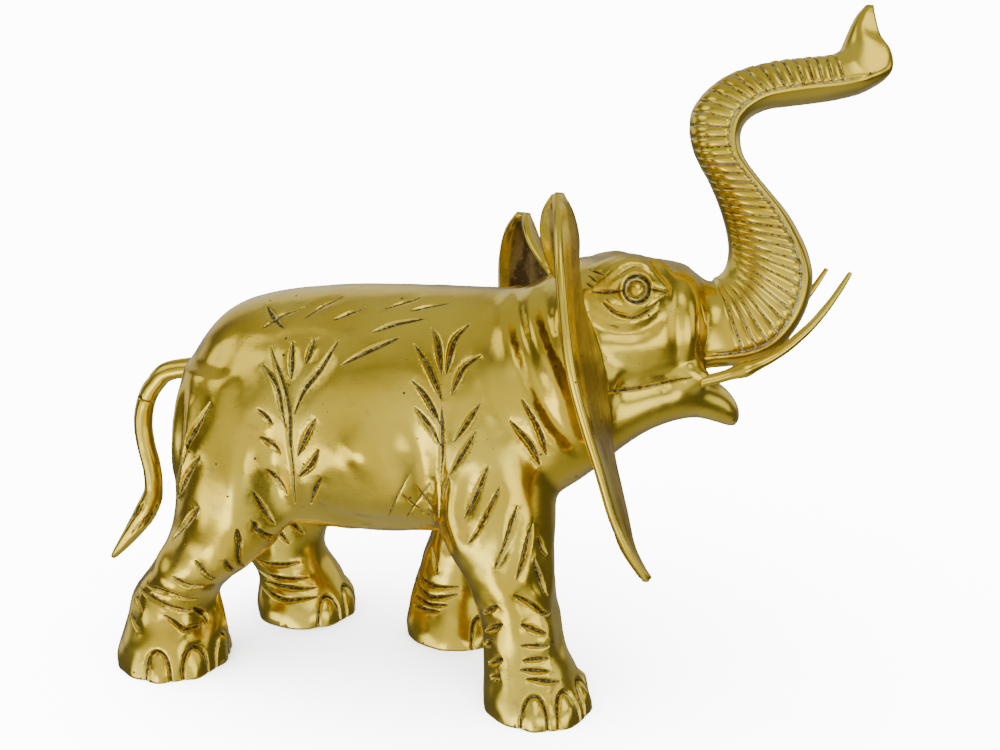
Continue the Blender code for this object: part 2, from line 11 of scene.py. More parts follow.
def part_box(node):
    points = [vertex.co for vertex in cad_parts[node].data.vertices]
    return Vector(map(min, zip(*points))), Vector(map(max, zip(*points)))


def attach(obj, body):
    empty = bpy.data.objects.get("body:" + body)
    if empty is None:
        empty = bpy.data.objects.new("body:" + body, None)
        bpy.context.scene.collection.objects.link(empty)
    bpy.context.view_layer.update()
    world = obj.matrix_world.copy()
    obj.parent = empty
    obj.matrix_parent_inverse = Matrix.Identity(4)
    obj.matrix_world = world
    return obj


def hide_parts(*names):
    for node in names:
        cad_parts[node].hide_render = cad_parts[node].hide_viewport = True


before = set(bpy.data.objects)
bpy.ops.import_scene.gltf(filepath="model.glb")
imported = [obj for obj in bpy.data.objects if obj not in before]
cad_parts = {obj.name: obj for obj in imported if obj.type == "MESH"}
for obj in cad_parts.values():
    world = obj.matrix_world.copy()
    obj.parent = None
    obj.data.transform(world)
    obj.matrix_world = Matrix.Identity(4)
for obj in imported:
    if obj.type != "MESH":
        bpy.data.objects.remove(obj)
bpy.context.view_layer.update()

# Lengths are in millimetres, on the figure's own axes: +X to the head, +Y to its left, +Z up, feet at 0.
# `place` carries them into the frame's metres at the end.
MILLIMETRE = 0.001
NEAR = -1
FAR = 1
SIDES = (NEAR, FAR)

# Pose of the head about the neck, in degrees
HEAD_TURN = 17.0
HEAD_ROLL = -10.0
NECK = Vector((95.0, 0.0, 160.0))

# Mesh sizes of the fine surface; the reaches say how near a cut line each halving of the faces goes
VOXEL = 2.5
SKIN_SMOOTHING = 7
SECTION_SIDES = 40
REFINE_REACH = (3.6, 2.1, 1.15)
TRIANGLE_LIMIT = 192000
# Middle and size, in the head's frame, of the place where the trunk leaves the head
TRUNK_SEAM = Vector((158.0, 0.0, 172.0))
TRUNK_SEAM_SIZE = 36.0
# How near a point has to lie to a skin to be on it
ON_SKIN = 0.02
# Seams near that place and away from it: away, reach of the smoothing, rounds
SEAMS = ((False, 7.0, 20), (True, 3.2, 6))
# Sides and steps of the tail and tusks
TAIL_SIDES = 28
STUB_SIDES = 24
TAIL_STEPS = 10
TUSK_SIDES = 16
TUSK_STEPS = 10

# Stations along the body: x, top, bottom, half width
TORSO = (
    (-84.5, 126, 100, 12), (-81, 141, 88, 25), (-74.5, 156, 80, 34), (-62, 170.5, 73, 41),
    (-45, 178, 69.5, 45.5), (-22, 182.3, 68, 49), (5, 185.2, 69, 51), (30, 186.3, 70.5, 50),
    (54, 187, 74, 47), (76, 187, 82, 44), (93, 183, 93, 39), (102, 172, 108, 30),
)
# Stations along the neck: x, top, bottom, half width, share of the head's turn
NECK_STATIONS = (
    (72, 187.5, 84, 42, 0.0), (84, 190.5, 88, 40.5, 0.3), (96, 196.5, 95, 38.5, 0.65),
    (108, 201, 104, 36, 1.0), (118, 200, 112, 32, 1.0),
)
# Stations along the head, in its own frame: x, top, bottom, half width
SKULL = (
    (92, 190, 158, 30), (98, 198, 150, 35), (106, 202.5, 146.5, 36.5), (118, 203.5, 147.5, 36.5),
    (130, 203.5, 148.5, 35.5), (141, 201.8, 150, 33.5), (149, 200.5, 151.5, 31), (155, 197, 153.5, 27),
    (160, 191, 157, 20),
)
JAW = (
    (100, 158, 101, 31), (112, 160, 107.5, 30), (124, 160, 117, 28.5), (136, 160, 124.5, 27),
    (149, 159, 129.3, 24), (158, 153, 130.3, 18.5), (165, 148.5, 128.8, 14.5), (171, 144.5, 126.8, 11.5),
    (176, 139, 125.5, 8), (179, 132.5, 127, 3.5),
)
HEAD_LUMPS = (
    ((126, 25, 195.5), (19, 11, 9.5)), ((127, 32, 189), (16, 5.5, 11)), ((153, 21, 151.5), (9.5, 6.5, 6.5)),
)
TRUNK_ROOT_LUMP = ((148, 0, 188), (14, 21, 12.5))
# Stations along the trunk, in the head's frame: back x, z, under side x, z, half width, twist in degrees
TRUNK = (
    (148, 194, 150, 152, 20, 0), (160, 193.8, 166, 153, 20, 0), (165.5, 193, 181, 155, 19.5, 0),
    (169, 194.3, 192.5, 159.5, 19.2, 1), (171.3, 197, 201, 168.5, 18.8, 2),
    (172.6, 201.5, 207, 179.5, 18.3, 4), (172.8, 207, 209.6, 192, 17.5, 6),
    (171.8, 213, 208, 202.5, 16.5, 8), (169.8, 220, 204, 212, 15.5, 9), (166.8, 228, 198, 222, 14.5, 10),
    (163, 236, 191, 230.5, 13.7, 11), (159, 243, 184.3, 238.5, 13, 12), (156.2, 249.5, 179, 246, 12.6, 13),
    (154.7, 257, 177, 253.3, 12.3, 14), (155.3, 265.5, 178, 259.2, 12.1, 15),
    (159.5, 272.6, 181.3, 263.4, 11.9, 16), (166, 278.6, 185.8, 266.1, 11.6, 17),
    (174, 283, 191, 267.9, 11.2, 18), (184, 285.9, 197.3, 268.8, 11, 18),
    (194.6, 287.9, 204.5, 269.7, 10.9, 18), (205, 289, 212, 270.6, 10.9, 17),
    (215, 289.9, 222, 272.1, 11.2, 15), (220, 291.8, 233, 275, 12, 12), (222, 295, 242.5, 281.5, 12.2, 9),
    (223.6, 299, 242.3, 290.5, 11, 6), (225.3, 303, 237.5, 298, 8.5, 3), (228, 307.8, 235.2, 306.5, 5.5, 0),
    (231.5, 311.6, 234.7, 311.2, 2.5, 0),
)
RING_COUNT = 38
RINGS_START = 0.085
RINGS_END = 0.822
# How far the rings lean along the trunk at its under side, as mark and share of the length
RING_LEAN = (
    (0.0, 0.0), (0.2, 0.0), (0.38, 0.020), (0.5, 0.022), (0.58, 0.004), (0.7, -0.016), (0.9, -0.006),
    (1.0, 0.0),
)
# Hollows on both sides of the blade at the trunk's tip: middle mark, half span, depth
SCOOP = (0.925, 0.075, 3.2)
RING_DEPTH = 0.95
# One ring's outline: share of its width and depth, below 0 where it swells
RING_PROFILE = (
    (0.0, -0.22), (0.16, -0.42), (0.33, -0.5), (0.5, -0.45), (0.62, -0.22), (0.71, 0.12), (0.765, 0.7),
    (0.8, 1.0), (0.835, 0.7), (0.89, 0.05),
)
# The rim beside the trunk's under side, as height on the section, and how flat that side is
RIM_RISE = -0.36
UNDER_FLATNESS = 0.42
UNDER_CORNER = 0.75
ROOT_MARKS = 6
BLADE_MARKS = 34

# Leg stations: height, x, y outwards, half length, half width
NEAR_HIND = (
    (-6, -87.2, 33, 27, 26.5), (5, -87.2, 33, 27.4, 27), (12, -86.4, 33, 26.6, 26),
    (21, -85.2, 33, 24.2, 23.5), (30, -85, 33, 21.6, 21.5), (38, -83, 33, 20.9, 21),
    (47, -75.8, 33, 21.6, 21.5), (61, -62.5, 32, 25.5, 23), (80, -51.5, 29, 29.5, 25),
    (103, -48.5, 25, 32.5, 28), (128, -49, 21, 31.5, 29), (150, -50, 17, 26, 27),
)
FAR_HIND = (
    (-6, -45, 33, 25.5, 25.5), (5, -45, 33, 25.8, 25.8), (12, -46, 33, 24.5, 24.5),
    (21, -48.5, 33, 21, 21), (30, -54, 33, 20.5, 20.5), (38, -57, 33, 21.5, 21.5),
    (47, -57, 33, 24, 23), (61, -55, 32, 28, 24), (80, -51, 29, 30, 25),
    (103, -48.5, 25, 32, 28), (128, -49, 21, 31.5, 29), (150, -50, 17, 26, 27),
)
NEAR_FRONT = (
    (-6, 96, 30, 25, 24.5), (5, 95.5, 30, 25.3, 25), (13, 93.1, 30, 22.8, 22.5),
    (30, 89, 30, 18.6, 19), (40, 87.7, 30, 17.7, 18.5), (51, 85.3, 30, 18.3, 19),
    (63, 82.3, 30, 20.8, 20.5), (81, 76.5, 29, 26, 22.5), (103, 72, 26, 30, 25),
    (128, 68, 22, 31, 27.5), (150, 66, 18, 26, 26),
)
FAR_FRONT = (
    (-6, 38.5, 30, 24.5, 24.5), (5, 38.3, 30, 24.8, 24.8), (13, 37.6, 30, 22.8, 22.5),
    (24, 36, 30, 19.8, 19.5), (38, 38.8, 30, 18.3, 18.5), (53, 45.4, 30, 19.8, 19.5),
    (66, 52, 30, 22, 21), (82, 60, 29, 26, 22.5), (103, 65, 26, 30, 25),
    (128, 66, 22, 31, 27.5), (150, 66, 18, 26, 26),
)
LEGS = ((NEAR_HIND, NEAR), (FAR_HIND, FAR), (NEAR_FRONT, NEAR), (FAR_FRONT, FAR))
# Toenails: directions in degrees on the side away from the body, and the swelling and arch of each
NAIL_ANGLES = (80, 40, 0, -40)
NAIL_INSET = 4.8
NAIL_MIDDLE = 2.0
NAIL_RADII = (6, 6, 12)
NAIL_HALF_WIDTH = 6.4
NAIL_LENGTH = 15.5

# Ear stations from top to tip: z, inner y, outer y, inner x, outer x, forward bulge
EAR = (
    (229, 54, 65, 90, 90, 3), (222, 46, 76, 87, 90, 8), (212, 38, 83, 87.5, 90, 10),
    (200, 29, 87, 92, 90.5, 8), (180, 29, 89, 104, 92, 4), (160, 29, 88, 112, 95, 2.5),
    (140, 29, 84, 115, 100.5, 2), (120, 31, 79, 116, 107, 3), (100, 42, 73, 116, 113, 5),
    (85, 51, 69, 119, 120, 3), (73, 58, 65, 127, 128, 1),
)
EAR_ROOT = (112, 33)
EAR_MIDDLE = 150
# Side, sweep back in degrees, shares of the height above and below the middle, columns and steps of the mesh
EARS = ((NEAR, 0.0, 1.0, 1.0, 40, 6), (FAR, 20.0, 0.9, 0.72, 24, 4))
EAR_HALF_THICKNESS = 1.6
EAR_RIM = 0.35
FRONT_DULLNESS = 0.55

# Centre lines of the tusk, in the head's frame, and of the tail: x, y, z
TUSK_LINE = (
    (156, 24, 149), (170, 23.5, 152.6), (187.5, 22, 159.3), (203, 21, 171),
    (214, 20, 183.5), (222, 19, 195.3),
)
TUSK_RADIUS = 2.6
TUSK_TIP_RADIUS = 1.0
TUSK_TAPER = 2.2
SOLDER_PLACE = 0.27
SOLDER_SWELL = 1.3
TAIL_LINE = (
    (-74, 0, 141), (-97, 0, 136.5), (-105.5, 0, 129.5), (-110.8, 0, 121.5), (-114, 0, 110), (-113.8, 0, 98),
    (-111.3, 0, 84), (-111.6, 0, 72), (-116, 0, 61.5), (-124, 0, 50), (-138, 0, 32.5),
)
TAIL_SEAM = 3
BRAZED_GAP = 0.3
TAIL_RADIUS = 4.6
TAIL_ROOT_SWELL = 0.1
TUFT_START = 0.68
TUFT_SWELL = 0.28
TUFT_TAPER = 0.72

EYE = (126.8, 190.2)
IRIS_RADIUS = 5.9
SOCKET_DEPTH = 1.5
IRIS_RING = 4.75
RING_HEIGHT = 0.55
PUPIL_RADIUS = 3.4
BEAD_HEIGHT = 1.3
# Radii of the points that show where the eye's mesh has to be fine
EYE_CIRCLES = (0.01, 1.6, 3.0, 4.4, 5.8, 6.8)
# Raised lids of the eye: height, half width, then x, z pairs
LIDS = (
    (0.9, 1.3, (
        109.5, 190.7, 115.5, 191.4, 119.6, 194.6, 123, 197, 127, 197.6, 131, 196, 134.8, 192, 139, 190.2)),
    (1.1, 1.8, (109.5, 187.4, 115, 184.6, 120.5, 182.6, 126.3, 181.9, 132, 183.3, 137.2, 187.3)),
)
# The broad trough round each chased stroke, as shares of the stroke's depth and half width
TROUGH_DEPTH = 0.6
TROUGH_WIDTH = 2.5
# How strongly the flank forms are laid, and where the legs' greater unevenness ends
FORM_STRENGTH = 1.45
LEG_TOP = 95

# Cut strokes on the flanks, as x, z pairs in the side view: the plant at the hip
HIP_PLANT = (
    (-26, 164, -18, 151, -14, 139, -14, 124, -14, 107, -16, 91), (-29, 157, -21, 149, -17, 137, -15, 130),
    (-16, 167, -13, 152), (-6, 169, -7, 159), (6, 169, 0, 158, -7, 148, -11, 137),
    (0, 137, -5, 129, -10, 118), (1, 123, -4, 114, -11, 107), (1, 109, -4, 101, -8, 92),
    (-29, 138, -22, 131), (-28, 125, -19, 117), (-27, 109, -19, 96), (-32, 99, -26, 80),
    (-34, 85, -28, 70), (-39, 79, -43, 57),
)
# The strokes along the back
BACK_STROKES = (
    (-33, 170, -25, 176, -15, 179), (-36, 177, -22, 171), (-14, 175, -8, 180, 0, 183),
    (1, 176, 7, 179, 14, 181), (23, 181, 28, 183, 37, 185), (35, 181, 42, 183, 51, 184),
    (21, 173, 31, 177, 43, 179), (10, 160, 20, 166, 34, 172),
)
# The plant at the shoulder
SHOULDER_PLANT = (
    (53, 92, 54, 113, 56, 127, 56, 147), (41, 170, 49, 161, 56, 148), (47, 176, 51, 171, 55, 159),
    (63, 178, 58, 172, 57, 159), (71, 167, 64, 162, 60, 151), (42, 156, 49, 149, 56, 137),
    (44, 145, 50, 137, 56, 127), (73, 148, 67, 139, 62, 131), (72, 137, 67, 128, 60, 116),
    (60, 115, 56, 107, 53, 96),
)
# The light hatching under the belly
HATCHING = (
    (41, 113, 28, 89), (49, 108, 35, 87), (37, 103, 44, 91), (43, 107, 48, 95),
)
# Strokes of the near front leg and its wrinkles
FRONT_LEG = (
    (78, 122, 72, 109, 67, 97), (83, 113, 78, 100, 69, 86), (90, 104, 87, 88, 81, 75),
    (96, 95, 94, 82, 90, 70), (85, 141, 94, 130, 98, 120), (90, 151, 97, 139, 101, 125),
    (97, 79, 99, 70, 102, 59), (98, 89, 101, 78),
)
FRONT_WRINKLES = (
    (89, 63, 97, 56, 103, 50), (92, 48, 103, 43), (92, 38, 104, 37), (93, 31, 104, 31), (92, 27, 105, 25),
    (95, 23, 109, 20), (74, 50, 82, 57), (74, 40, 84, 48), (73, 32, 78, 37), (76, 25, 84, 31),
    (77, 19, 83, 22),
)
# Strokes of the near hind leg and its wrinkles
HIND_LEG = (
    (-57, 114, -65, 104, -74, 89), (-52, 139, -63, 121, -68, 107), (-58, 90, -69, 78, -77, 69),
    (-40, 81, -40, 69), (-33, 84, -32, 77), (-47, 65, -47, 55), (-61, 64, -55, 51),
    (-28, 67, -27, 58),
)
HIND_WRINKLES = (
    (-73, 55, -67, 50, -61, 47), (-90, 46, -76, 45, -66, 39), (-95, 43, -84, 40, -68, 33),
    (-99, 37, -91, 33), (-101, 27, -93, 23), (-80, 33, -72, 26, -66, 24), (-68, 35, -65, 24),
)
# Strokes on the inside of the far legs, which show between the near ones
FAR_LEGS = (
    (-66, 34, -57, 32, -41, 33), (-65, 26, -57, 25, -37, 25), (-60, 21, -50, 21, -33, 20),
    (-62, 17, -50, 15, -31, 16), (19, 34, 30, 31, 46, 32), (19, 28, 30, 25, 45, 28),
    (20, 22, 30, 21, 40, 23), (20, 17, 36, 19), (-52, 56, -45, 44), (-44, 60, -38, 49),
    (38, 66, 42, 50), (44, 66, 50, 52), (30, 50, 34, 38),
)
# Strokes of both sides: half width, depth, share of both at the ends, height of the lips
BOTH_SIDES = ((HIP_PLANT + SHOULDER_PLANT, 1.6, 1.6, 0.1, 0.25), (BACK_STROKES, 1.6, 1.2, 0.1, 0.2))
# Strokes that the near side alone has; the second number is how far out they are laid from
BEYOND = 130.0
NEAR_SIDE = (
    (HATCHING, BEYOND, 0.6, 0.5, 0.3, 0.06), (FRONT_LEG + HIND_LEG, BEYOND, 1.6, 1.7, 0.1, 0.25),
    (FRONT_WRINKLES + HIND_WRINKLES, BEYOND, 1.5, 1.7, 0.15, 0.3), (FAR_LEGS, -4.0, 1.5, 1.7, 0.15, 0.3),
)
# Folds and hollows pressed into the flanks: height, half width, then x, z pairs
FLANK_FORMS = (
    (1.7, 4.0, (86, 190, 94, 176, 101, 164, 107, 152)), (-1.3, 4.0, (83, 184, 91, 168, 98, 152, 103, 138)),
    (1.3, 4.0, (75, 188, 80, 176, 85, 164)), (-0.9, 6.0, (63, 178, 73, 160, 82, 140)),
    (1.4, 3.5, (102, 186, 106, 172, 112, 160)), (1.3, 4.0, (94, 148, 100, 138, 107, 128)),
    (-0.8, 2.2, (91.6, 192, 99.4, 178, 105.9, 167, 111.2, 157)), (-0.7, 2.2, (79, 190, 83, 182, 87, 174)),
    (-0.9, 2.2, (98.7, 149, 105.4, 138, 112.2, 126)),
    (-2.6, 7.0, (42, 134, 46, 124, 47, 108, 46, 92)), (2.6, 11.0, (14, 120, 22, 124, 28, 126)),
    (-1.1, 7.0, (-8, 88, 14, 84, 34, 84)), (-1.8, 6.0, (-22, 128, -22, 108, -25, 88)),
    (1.7, 7.0, (-34, 134, -37, 112, -42, 92)), (-0.9, 6.0, (-46, 164, -54, 146, -60, 128)),
    (1.2, 2.6, (-73, 138, -75, 116, -79, 98)), (-1.2, 2.4, (-68, 140, -70, 116, -75, 96)),
    (1.0, 2.4, (-63, 136, -66, 114, -72, 94)), (-0.8, 2.2, (-78, 136, -80, 114, -83, 100)),
    (1.2, 5.0, (62, 110, 62, 96, 66, 80)), (-1.2, 4.0, (71, 118, 67, 104, 66, 92)),
    (1.1, 3.5, (78, 106, 75, 94, 72, 84)), (1.1, 3.5, (86, 98, 84, 86, 80, 76)),
    (-1.0, 3.5, (90, 96, 88, 82, 86, 70)), (-1.6, 6.0, (-63, 42, -64, 30, -65, 18)),
    (1.0, 6.0, (-84, 60, -76, 52, -70, 46)), (-1.0, 5.0, (88, 66, 94, 58, 98, 50)),
    (1.3, 6.0, (99, 58, 101, 44, 104, 30)), (-0.7, 5.0, (-34, 164, -10, 170, 20, 168)),
)
# Forms of the face, in the head's frame: height, half width, x, z pairs
FACE_FORMS = (
    (2.0, 2.4, (
        107, 190, 114.3, 195.1, 119.7, 199.6, 124.7, 201.2, 129.4, 200.4, 133.6, 197.4, 140, 189.9)),
    (-1.5, 3.4, (131, 205, 137, 198, 142, 192)),
    (0.8, 1.5, (107.6, 180.9, 114.4, 177, 120.7, 175.7, 126.6, 175.7, 132.5, 178.2, 137, 182)),
    (-1.2, 4.0, (108, 176, 116, 172, 126, 171, 134, 173)), (0.9, 4.2, (151, 190, 152.5, 175, 152.5, 160)),
    (-1.1, 3.2, (144, 187, 145, 172, 146, 160)),
    (2.4, 5.0, (106, 154, 116, 154, 128, 154.5, 141, 156, 151, 158)),
    (1.2, 2.4, (108, 149.5, 116, 149.5, 128, 150.3, 141, 152.2, 151, 154.5)),
    (-1.4, 2.6, (107, 177, 114, 173.3, 121, 172, 127, 172, 133, 174.5, 138, 179)),
    (-0.8, 3.0, (157.5, 190, 160, 175, 161, 163)), (0.7, 2.2, (114, 183, 120, 178.6, 127, 178, 134, 181)),
)
# Cut lines of the face: half width, depth, x, z pairs
FACE_CUTS = (
    (1.0, 1.0, (107.8, 189.2, 112.6, 189, 118, 189.2, 121, 190)),
    (1.0, 1.0, (132.3, 190.2, 134.3, 189.8, 137.4, 189, 141, 188.4)),
    (0.45, 0.3, (119, 195.6, 121.4, 197.6, 126, 199.6, 129.4, 199)),
    (1.05, 1.1, (112.6, 184.6, 116.9, 180.8, 121.5, 179.1, 126.6, 178.6, 132.4, 181.5, 136.2, 184.8)),
    (1.0, 1.0, (107, 146, 115.8, 146.2, 128.4, 147, 140.9, 149, 152.6, 151.5)),
    (0.7, 0.6, (107.2, 195.9, 110.5, 193.4)), (0.6, 0.6, (107.6, 198.4, 113.4, 196.3)),
    (0.6, 0.5, (106, 193, 108.5, 190.8)), (0.5, 0.4, (113.5, 186.5, 115.5, 184.6)),
    (0.6, 0.6, (156.4, 186, 158, 178, 160.5, 168, 163.8, 158)), (0.6, 0.5, (154.4, 180, 155, 170, 157, 162)),
)

# Colours of the metal, of the crust in what is cut, and of the rough hollows behind the ears
BRASS_DEEP = (0.70, 0.50, 0.045, 1)
BRASS_LIGHT = (0.80, 0.62, 0.075, 1)
BRASS_DULL = (0.50, 0.35, 0.08, 1)
CRUST_DARK = (0.11, 0.092, 0.035, 1)
CRUST_LIGHT = (0.36, 0.33, 0.18, 1)
PATINA = (0.66, 0.66, 0.44, 1)
BROWN_DARK = (0.12, 0.075, 0.024, 1)
BROWN_LIGHT = (0.36, 0.245, 0.08, 1)
# Studio: how bright the room is, and its panels as direction, cosines of their edge and middle, and strength
ROOM_LIGHT = 0.13
PANELS = (
    ((0.02, -0.95, -0.28), 0.50, 0.95, 0.95), ((0, 0, 1), 0.35, 0.9, 0.42), ((0, 0, -1), 0.55, 0.95, 0.35),
    ((0, 1, 0.1), 0.55, 0.95, 0.22), ((-0.30, -0.78, -0.55), 0.955, 0.985, 3.5),
    ((-0.68, -0.55, -0.42), 0.955, 0.985, 2.4), ((0.72, -0.66, -0.15), 0.955, 0.985, 2.4),
    ((0.50, -0.62, 0.60), 0.93, 0.975, 2.2), ((-0.78, -0.42, 0.46), 0.93, 0.975, 1.6),
    ((0.95, -0.2, 0.1), 0.93, 0.98, 1.2), ((-0.95, 0.25, 0.0), 0.93, 0.98, 0.8),
    ((0.6, 0.75, 0.3), 0.9, 0.97, 0.6), ((-0.6, 0.75, 0.3), 0.9, 0.97, 0.6),
)
ROOM_COLOR = (1.0, 0.985, 0.96, 1)
LAMP_STRENGTH = 44.0
LAMP_SPREAD = 110
LAMP_TILT = (8, -6)
FLOOR_SIZE = 60
FLOOR_COLOR = (0.93, 0.93, 0.93, 1)
# Camera, at the photograph's viewing angle: place in metres, tilt and turn in degrees, lens in millimetres
CAMERA_PLACE = (0.17686, -0.56251, 0.32713)
CAMERA_TILT = 73
CAMERA_TURN = 15.119
LENS = 48.6
SENSOR_WIDTH = 36.0


def matrix_array(matrix, points):
    """Points carried by a 4 x 4 matrix."""
    m = np.array(matrix)
    return np.asarray(points, float) @ m[:3, :3].T + m[:3, 3]


def coordinates(build):
    return np.array([vert.co[:] for vert in build.verts])


def tree_of(points):
    """A search tree over points."""
    tree = KDTree(len(points))
    for i, point in enumerate(points):
        tree.insert(point, i)
    tree.balance()
    return tree


def head_turn(share=1.0):
    """Matrix that carries a point of the head's frame into the body's, about the neck."""
    turn = Matrix.Rotation(math.radians(HEAD_TURN * share), 4, "Z")
    roll = Matrix.Rotation(math.radians(HEAD_ROLL * share), 4, "X")
    return Matrix.Translation(NECK) @ turn @ roll @ Matrix.Translation(-NECK)


def smooth_row(rows, steps):
    """Rows of numbers with `steps` - 1 new rows between each pair, on a Catmull-Rom curve."""
    result = []
    last = len(rows) - 1
    for i in range(last):
        before, start, end, after = (rows[max(0, min(last, k))] for k in (i - 1, i, i + 1, i + 2))
        for step in range(steps):
            t = step / steps
            weights = (
                -0.5 * t + t * t - 0.5 * t ** 3, 1 - 2.5 * t * t + 1.5 * t ** 3,
                0.5 * t + 2 * t * t - 1.5 * t ** 3, -0.5 * t * t + 0.5 * t ** 3,
            )
            result.append(tuple(
                weights[0] * a + weights[1] * b + weights[2] * c + weights[3] * d
                for a, b, c, d in zip(before, start, end, after)))
    result.append(tuple(rows[-1]))
    return result


def signed_power(value, power):
    return math.copysign(abs(value) ** power, value)


def oval(center, across, up, roundness, sides=SECTION_SIDES):
    """Points of a superellipse about `center`; a roundness of 2 is an ellipse, more is squarer."""
    points = []
    for i in range(sides):
        angle = 2 * math.pi * (i + 0.5) / sides
        side = signed_power(math.cos(angle), 2 / roundness)
        rise = signed_power(math.sin(angle), 2 / roundness)
        points.append(center + across * side + up * rise)
    return points


def add_loft(build, rings):
    """Add a closed skin through rings of equally many points."""
    rows = [[build.verts.new(point) for point in ring] for ring in rings]
    for row, following in zip(rows, rows[1:]):
        for i in range(len(row)):
            j = (i + 1) % len(row)
            build.faces.new((row[i], row[j], following[j], following[i]))
    build.faces.new(list(reversed(rows[0])))
    build.faces.new(rows[-1])


def upright_rings(stations, roundness, turn_of):
    rings = []
    for station in smooth_row(stations, 4):
        x, top, bottom, half = station[:4]
        center = Vector((x, 0, (top + bottom) / 2))
        ring = oval(center, Vector((0, half, 0)), Vector((0, 0, (top - bottom) / 2)), roundness)
        matrix = turn_of(station)
        rings.append([matrix @ point for point in ring])
    return rings


def leg_rings(stations, side):
    rings = []
    for height, x, y, half_length, half_width in smooth_row(stations, 4):
        center = Vector((x, side * y, height))
        rings.append(oval(center, Vector((half_length, 0, 0)), Vector((0, half_width, 0)), 2.0))
    return rings


def add_ball(build, center, radii, matrix, segments=24):
    scale = Matrix.Diagonal((*radii, 1.0))
    place_ball = matrix @ Matrix.Translation(Vector(center)) @ scale
    bmesh.ops.create_uvsphere(
        build, u_segments=segments, v_segments=segments // 2, radius=1.0, matrix=place_ball)


def nail_places():
    """Foot centre, radius and direction of each toenail."""
    places = []
    for stations, side in LEGS:
        height, x, y, half_length, half_width = stations[1]
        for angle in NAIL_ANGLES:
            direction = math.radians(angle) * side
            outward = Vector((math.cos(direction), math.sin(direction), 0))
            places.append((Vector((x, side * y, 0)), half_length, outward))
    return places


def scratch_object(name, build, collection=None):
    """An object made from a bmesh, used on the way to a piece."""
    bmesh.ops.recalc_face_normals(build, faces=build.faces)
    mesh = bpy.data.meshes.new(name)
    build.to_mesh(mesh)
    build.free()
    made = bpy.data.objects.new(name, mesh)
    (collection or bpy.context.scene.collection).objects.link(made)
    return made


def evaluated_bmesh(obj):
    bpy.context.view_layer.update()
    graph = bpy.context.evaluated_depsgraph_get()
    build = bmesh.new()
    build.from_mesh(obj.evaluated_get(graph).to_mesh())
    return build


def discard(obj):
    mesh = obj.data
    bpy.data.objects.remove(obj, do_unlink=True)
    bpy.data.meshes.remove(mesh)


def body_masses():
    """Body, legs and head as one smooth skin."""
    build = bmesh.new()
    add_loft(build, upright_rings(TORSO, 2.15, lambda station: Matrix.Identity(4)))
    add_loft(build, upright_rings(NECK_STATIONS, 2.1, lambda station: head_turn(station[4])))
    add_loft(build, upright_rings(SKULL, 2.7, lambda station: head_turn()))
    add_loft(build, upright_rings(JAW, 2.2, lambda station: head_turn()))
    for stations, side in LEGS:
        add_loft(build, leg_rings(stations, side))
    for side in SIDES:
        for (x, y, z), radii in HEAD_LUMPS:
            add_ball(build, (x, side * y, z), radii, head_turn())
    add_ball(build, *TRUNK_ROOT_LUMP, head_turn())
    for foot, radius, outward in nail_places():
        center = foot + outward * (radius - NAIL_INSET) + Vector((0, 0, NAIL_MIDDLE))
        add_ball(build, center, NAIL_RADII, Matrix.Identity(4), 16)
    rough = scratch_object("masses", build)
    join = rough.modifiers.new("Fuse masses", "REMESH")
    join.mode = "VOXEL"
    join.voxel_size = VOXEL
    soften = rough.modifiers.new("Soften", "SMOOTH")
    soften.factor = 0.5
    soften.iterations = SKIN_SMOOTHING
    skin = evaluated_bmesh(rough)
    discard(rough)
    return skin


def cut_at_floor(build):
    """Cut the soles flat at the floor, and close the cut."""
    every = list(build.verts) + list(build.edges) + list(build.faces)
    cut = bmesh.ops.bisect_plane(build, geom=every, plane_co=(0, 0, 0), plane_no=(0, 0, -1), clear_outer=True)
    rim = [item for item in cut["geom_cut"] if isinstance(item, bmesh.types.BMEdge)]
    bmesh.ops.holes_fill(build, edges=rim, sides=0)


def arrays_of(build):
    build.verts.ensure_lookup_table()
    build.normal_update()
    return coordinates(build), np.array([vert.normal[:] for vert in build.verts])


def put_back(build, points):
    for vert, point in zip(build.verts, points):
        vert.co = point
    build.normal_update()


class Skin:
    """The bare skin, on which strokes are laid by looking at it from one side."""

    def __init__(self, build):
        self.tree = BVHTree.FromBMesh(build)

    def flank(self, pairs, side, from_y=BEYOND):
        """Points on the skin under a line of the side view."""
        return self.cast(pairs, Matrix.Identity(4), side, from_y)

    def face(self, pairs, side):
        """Points on the skin under a line drawn in the head's frame."""
        return self.cast(pairs, head_turn(), side, 90.0)

    def cast(self, pairs, matrix, side, from_y):
        places = list(zip(pairs[0::2], pairs[1::2]))
        turn = matrix.to_3x3()
        way = turn @ Vector((0, -side, 0))
        found = []
        for x, z in smooth_row(places, 5):
            start = matrix @ Vector((x, side * from_y, z))
            point, normal, index, distance = self.tree.ray_cast(start, way)
            if point is not None:
                found.append(point)
        return found


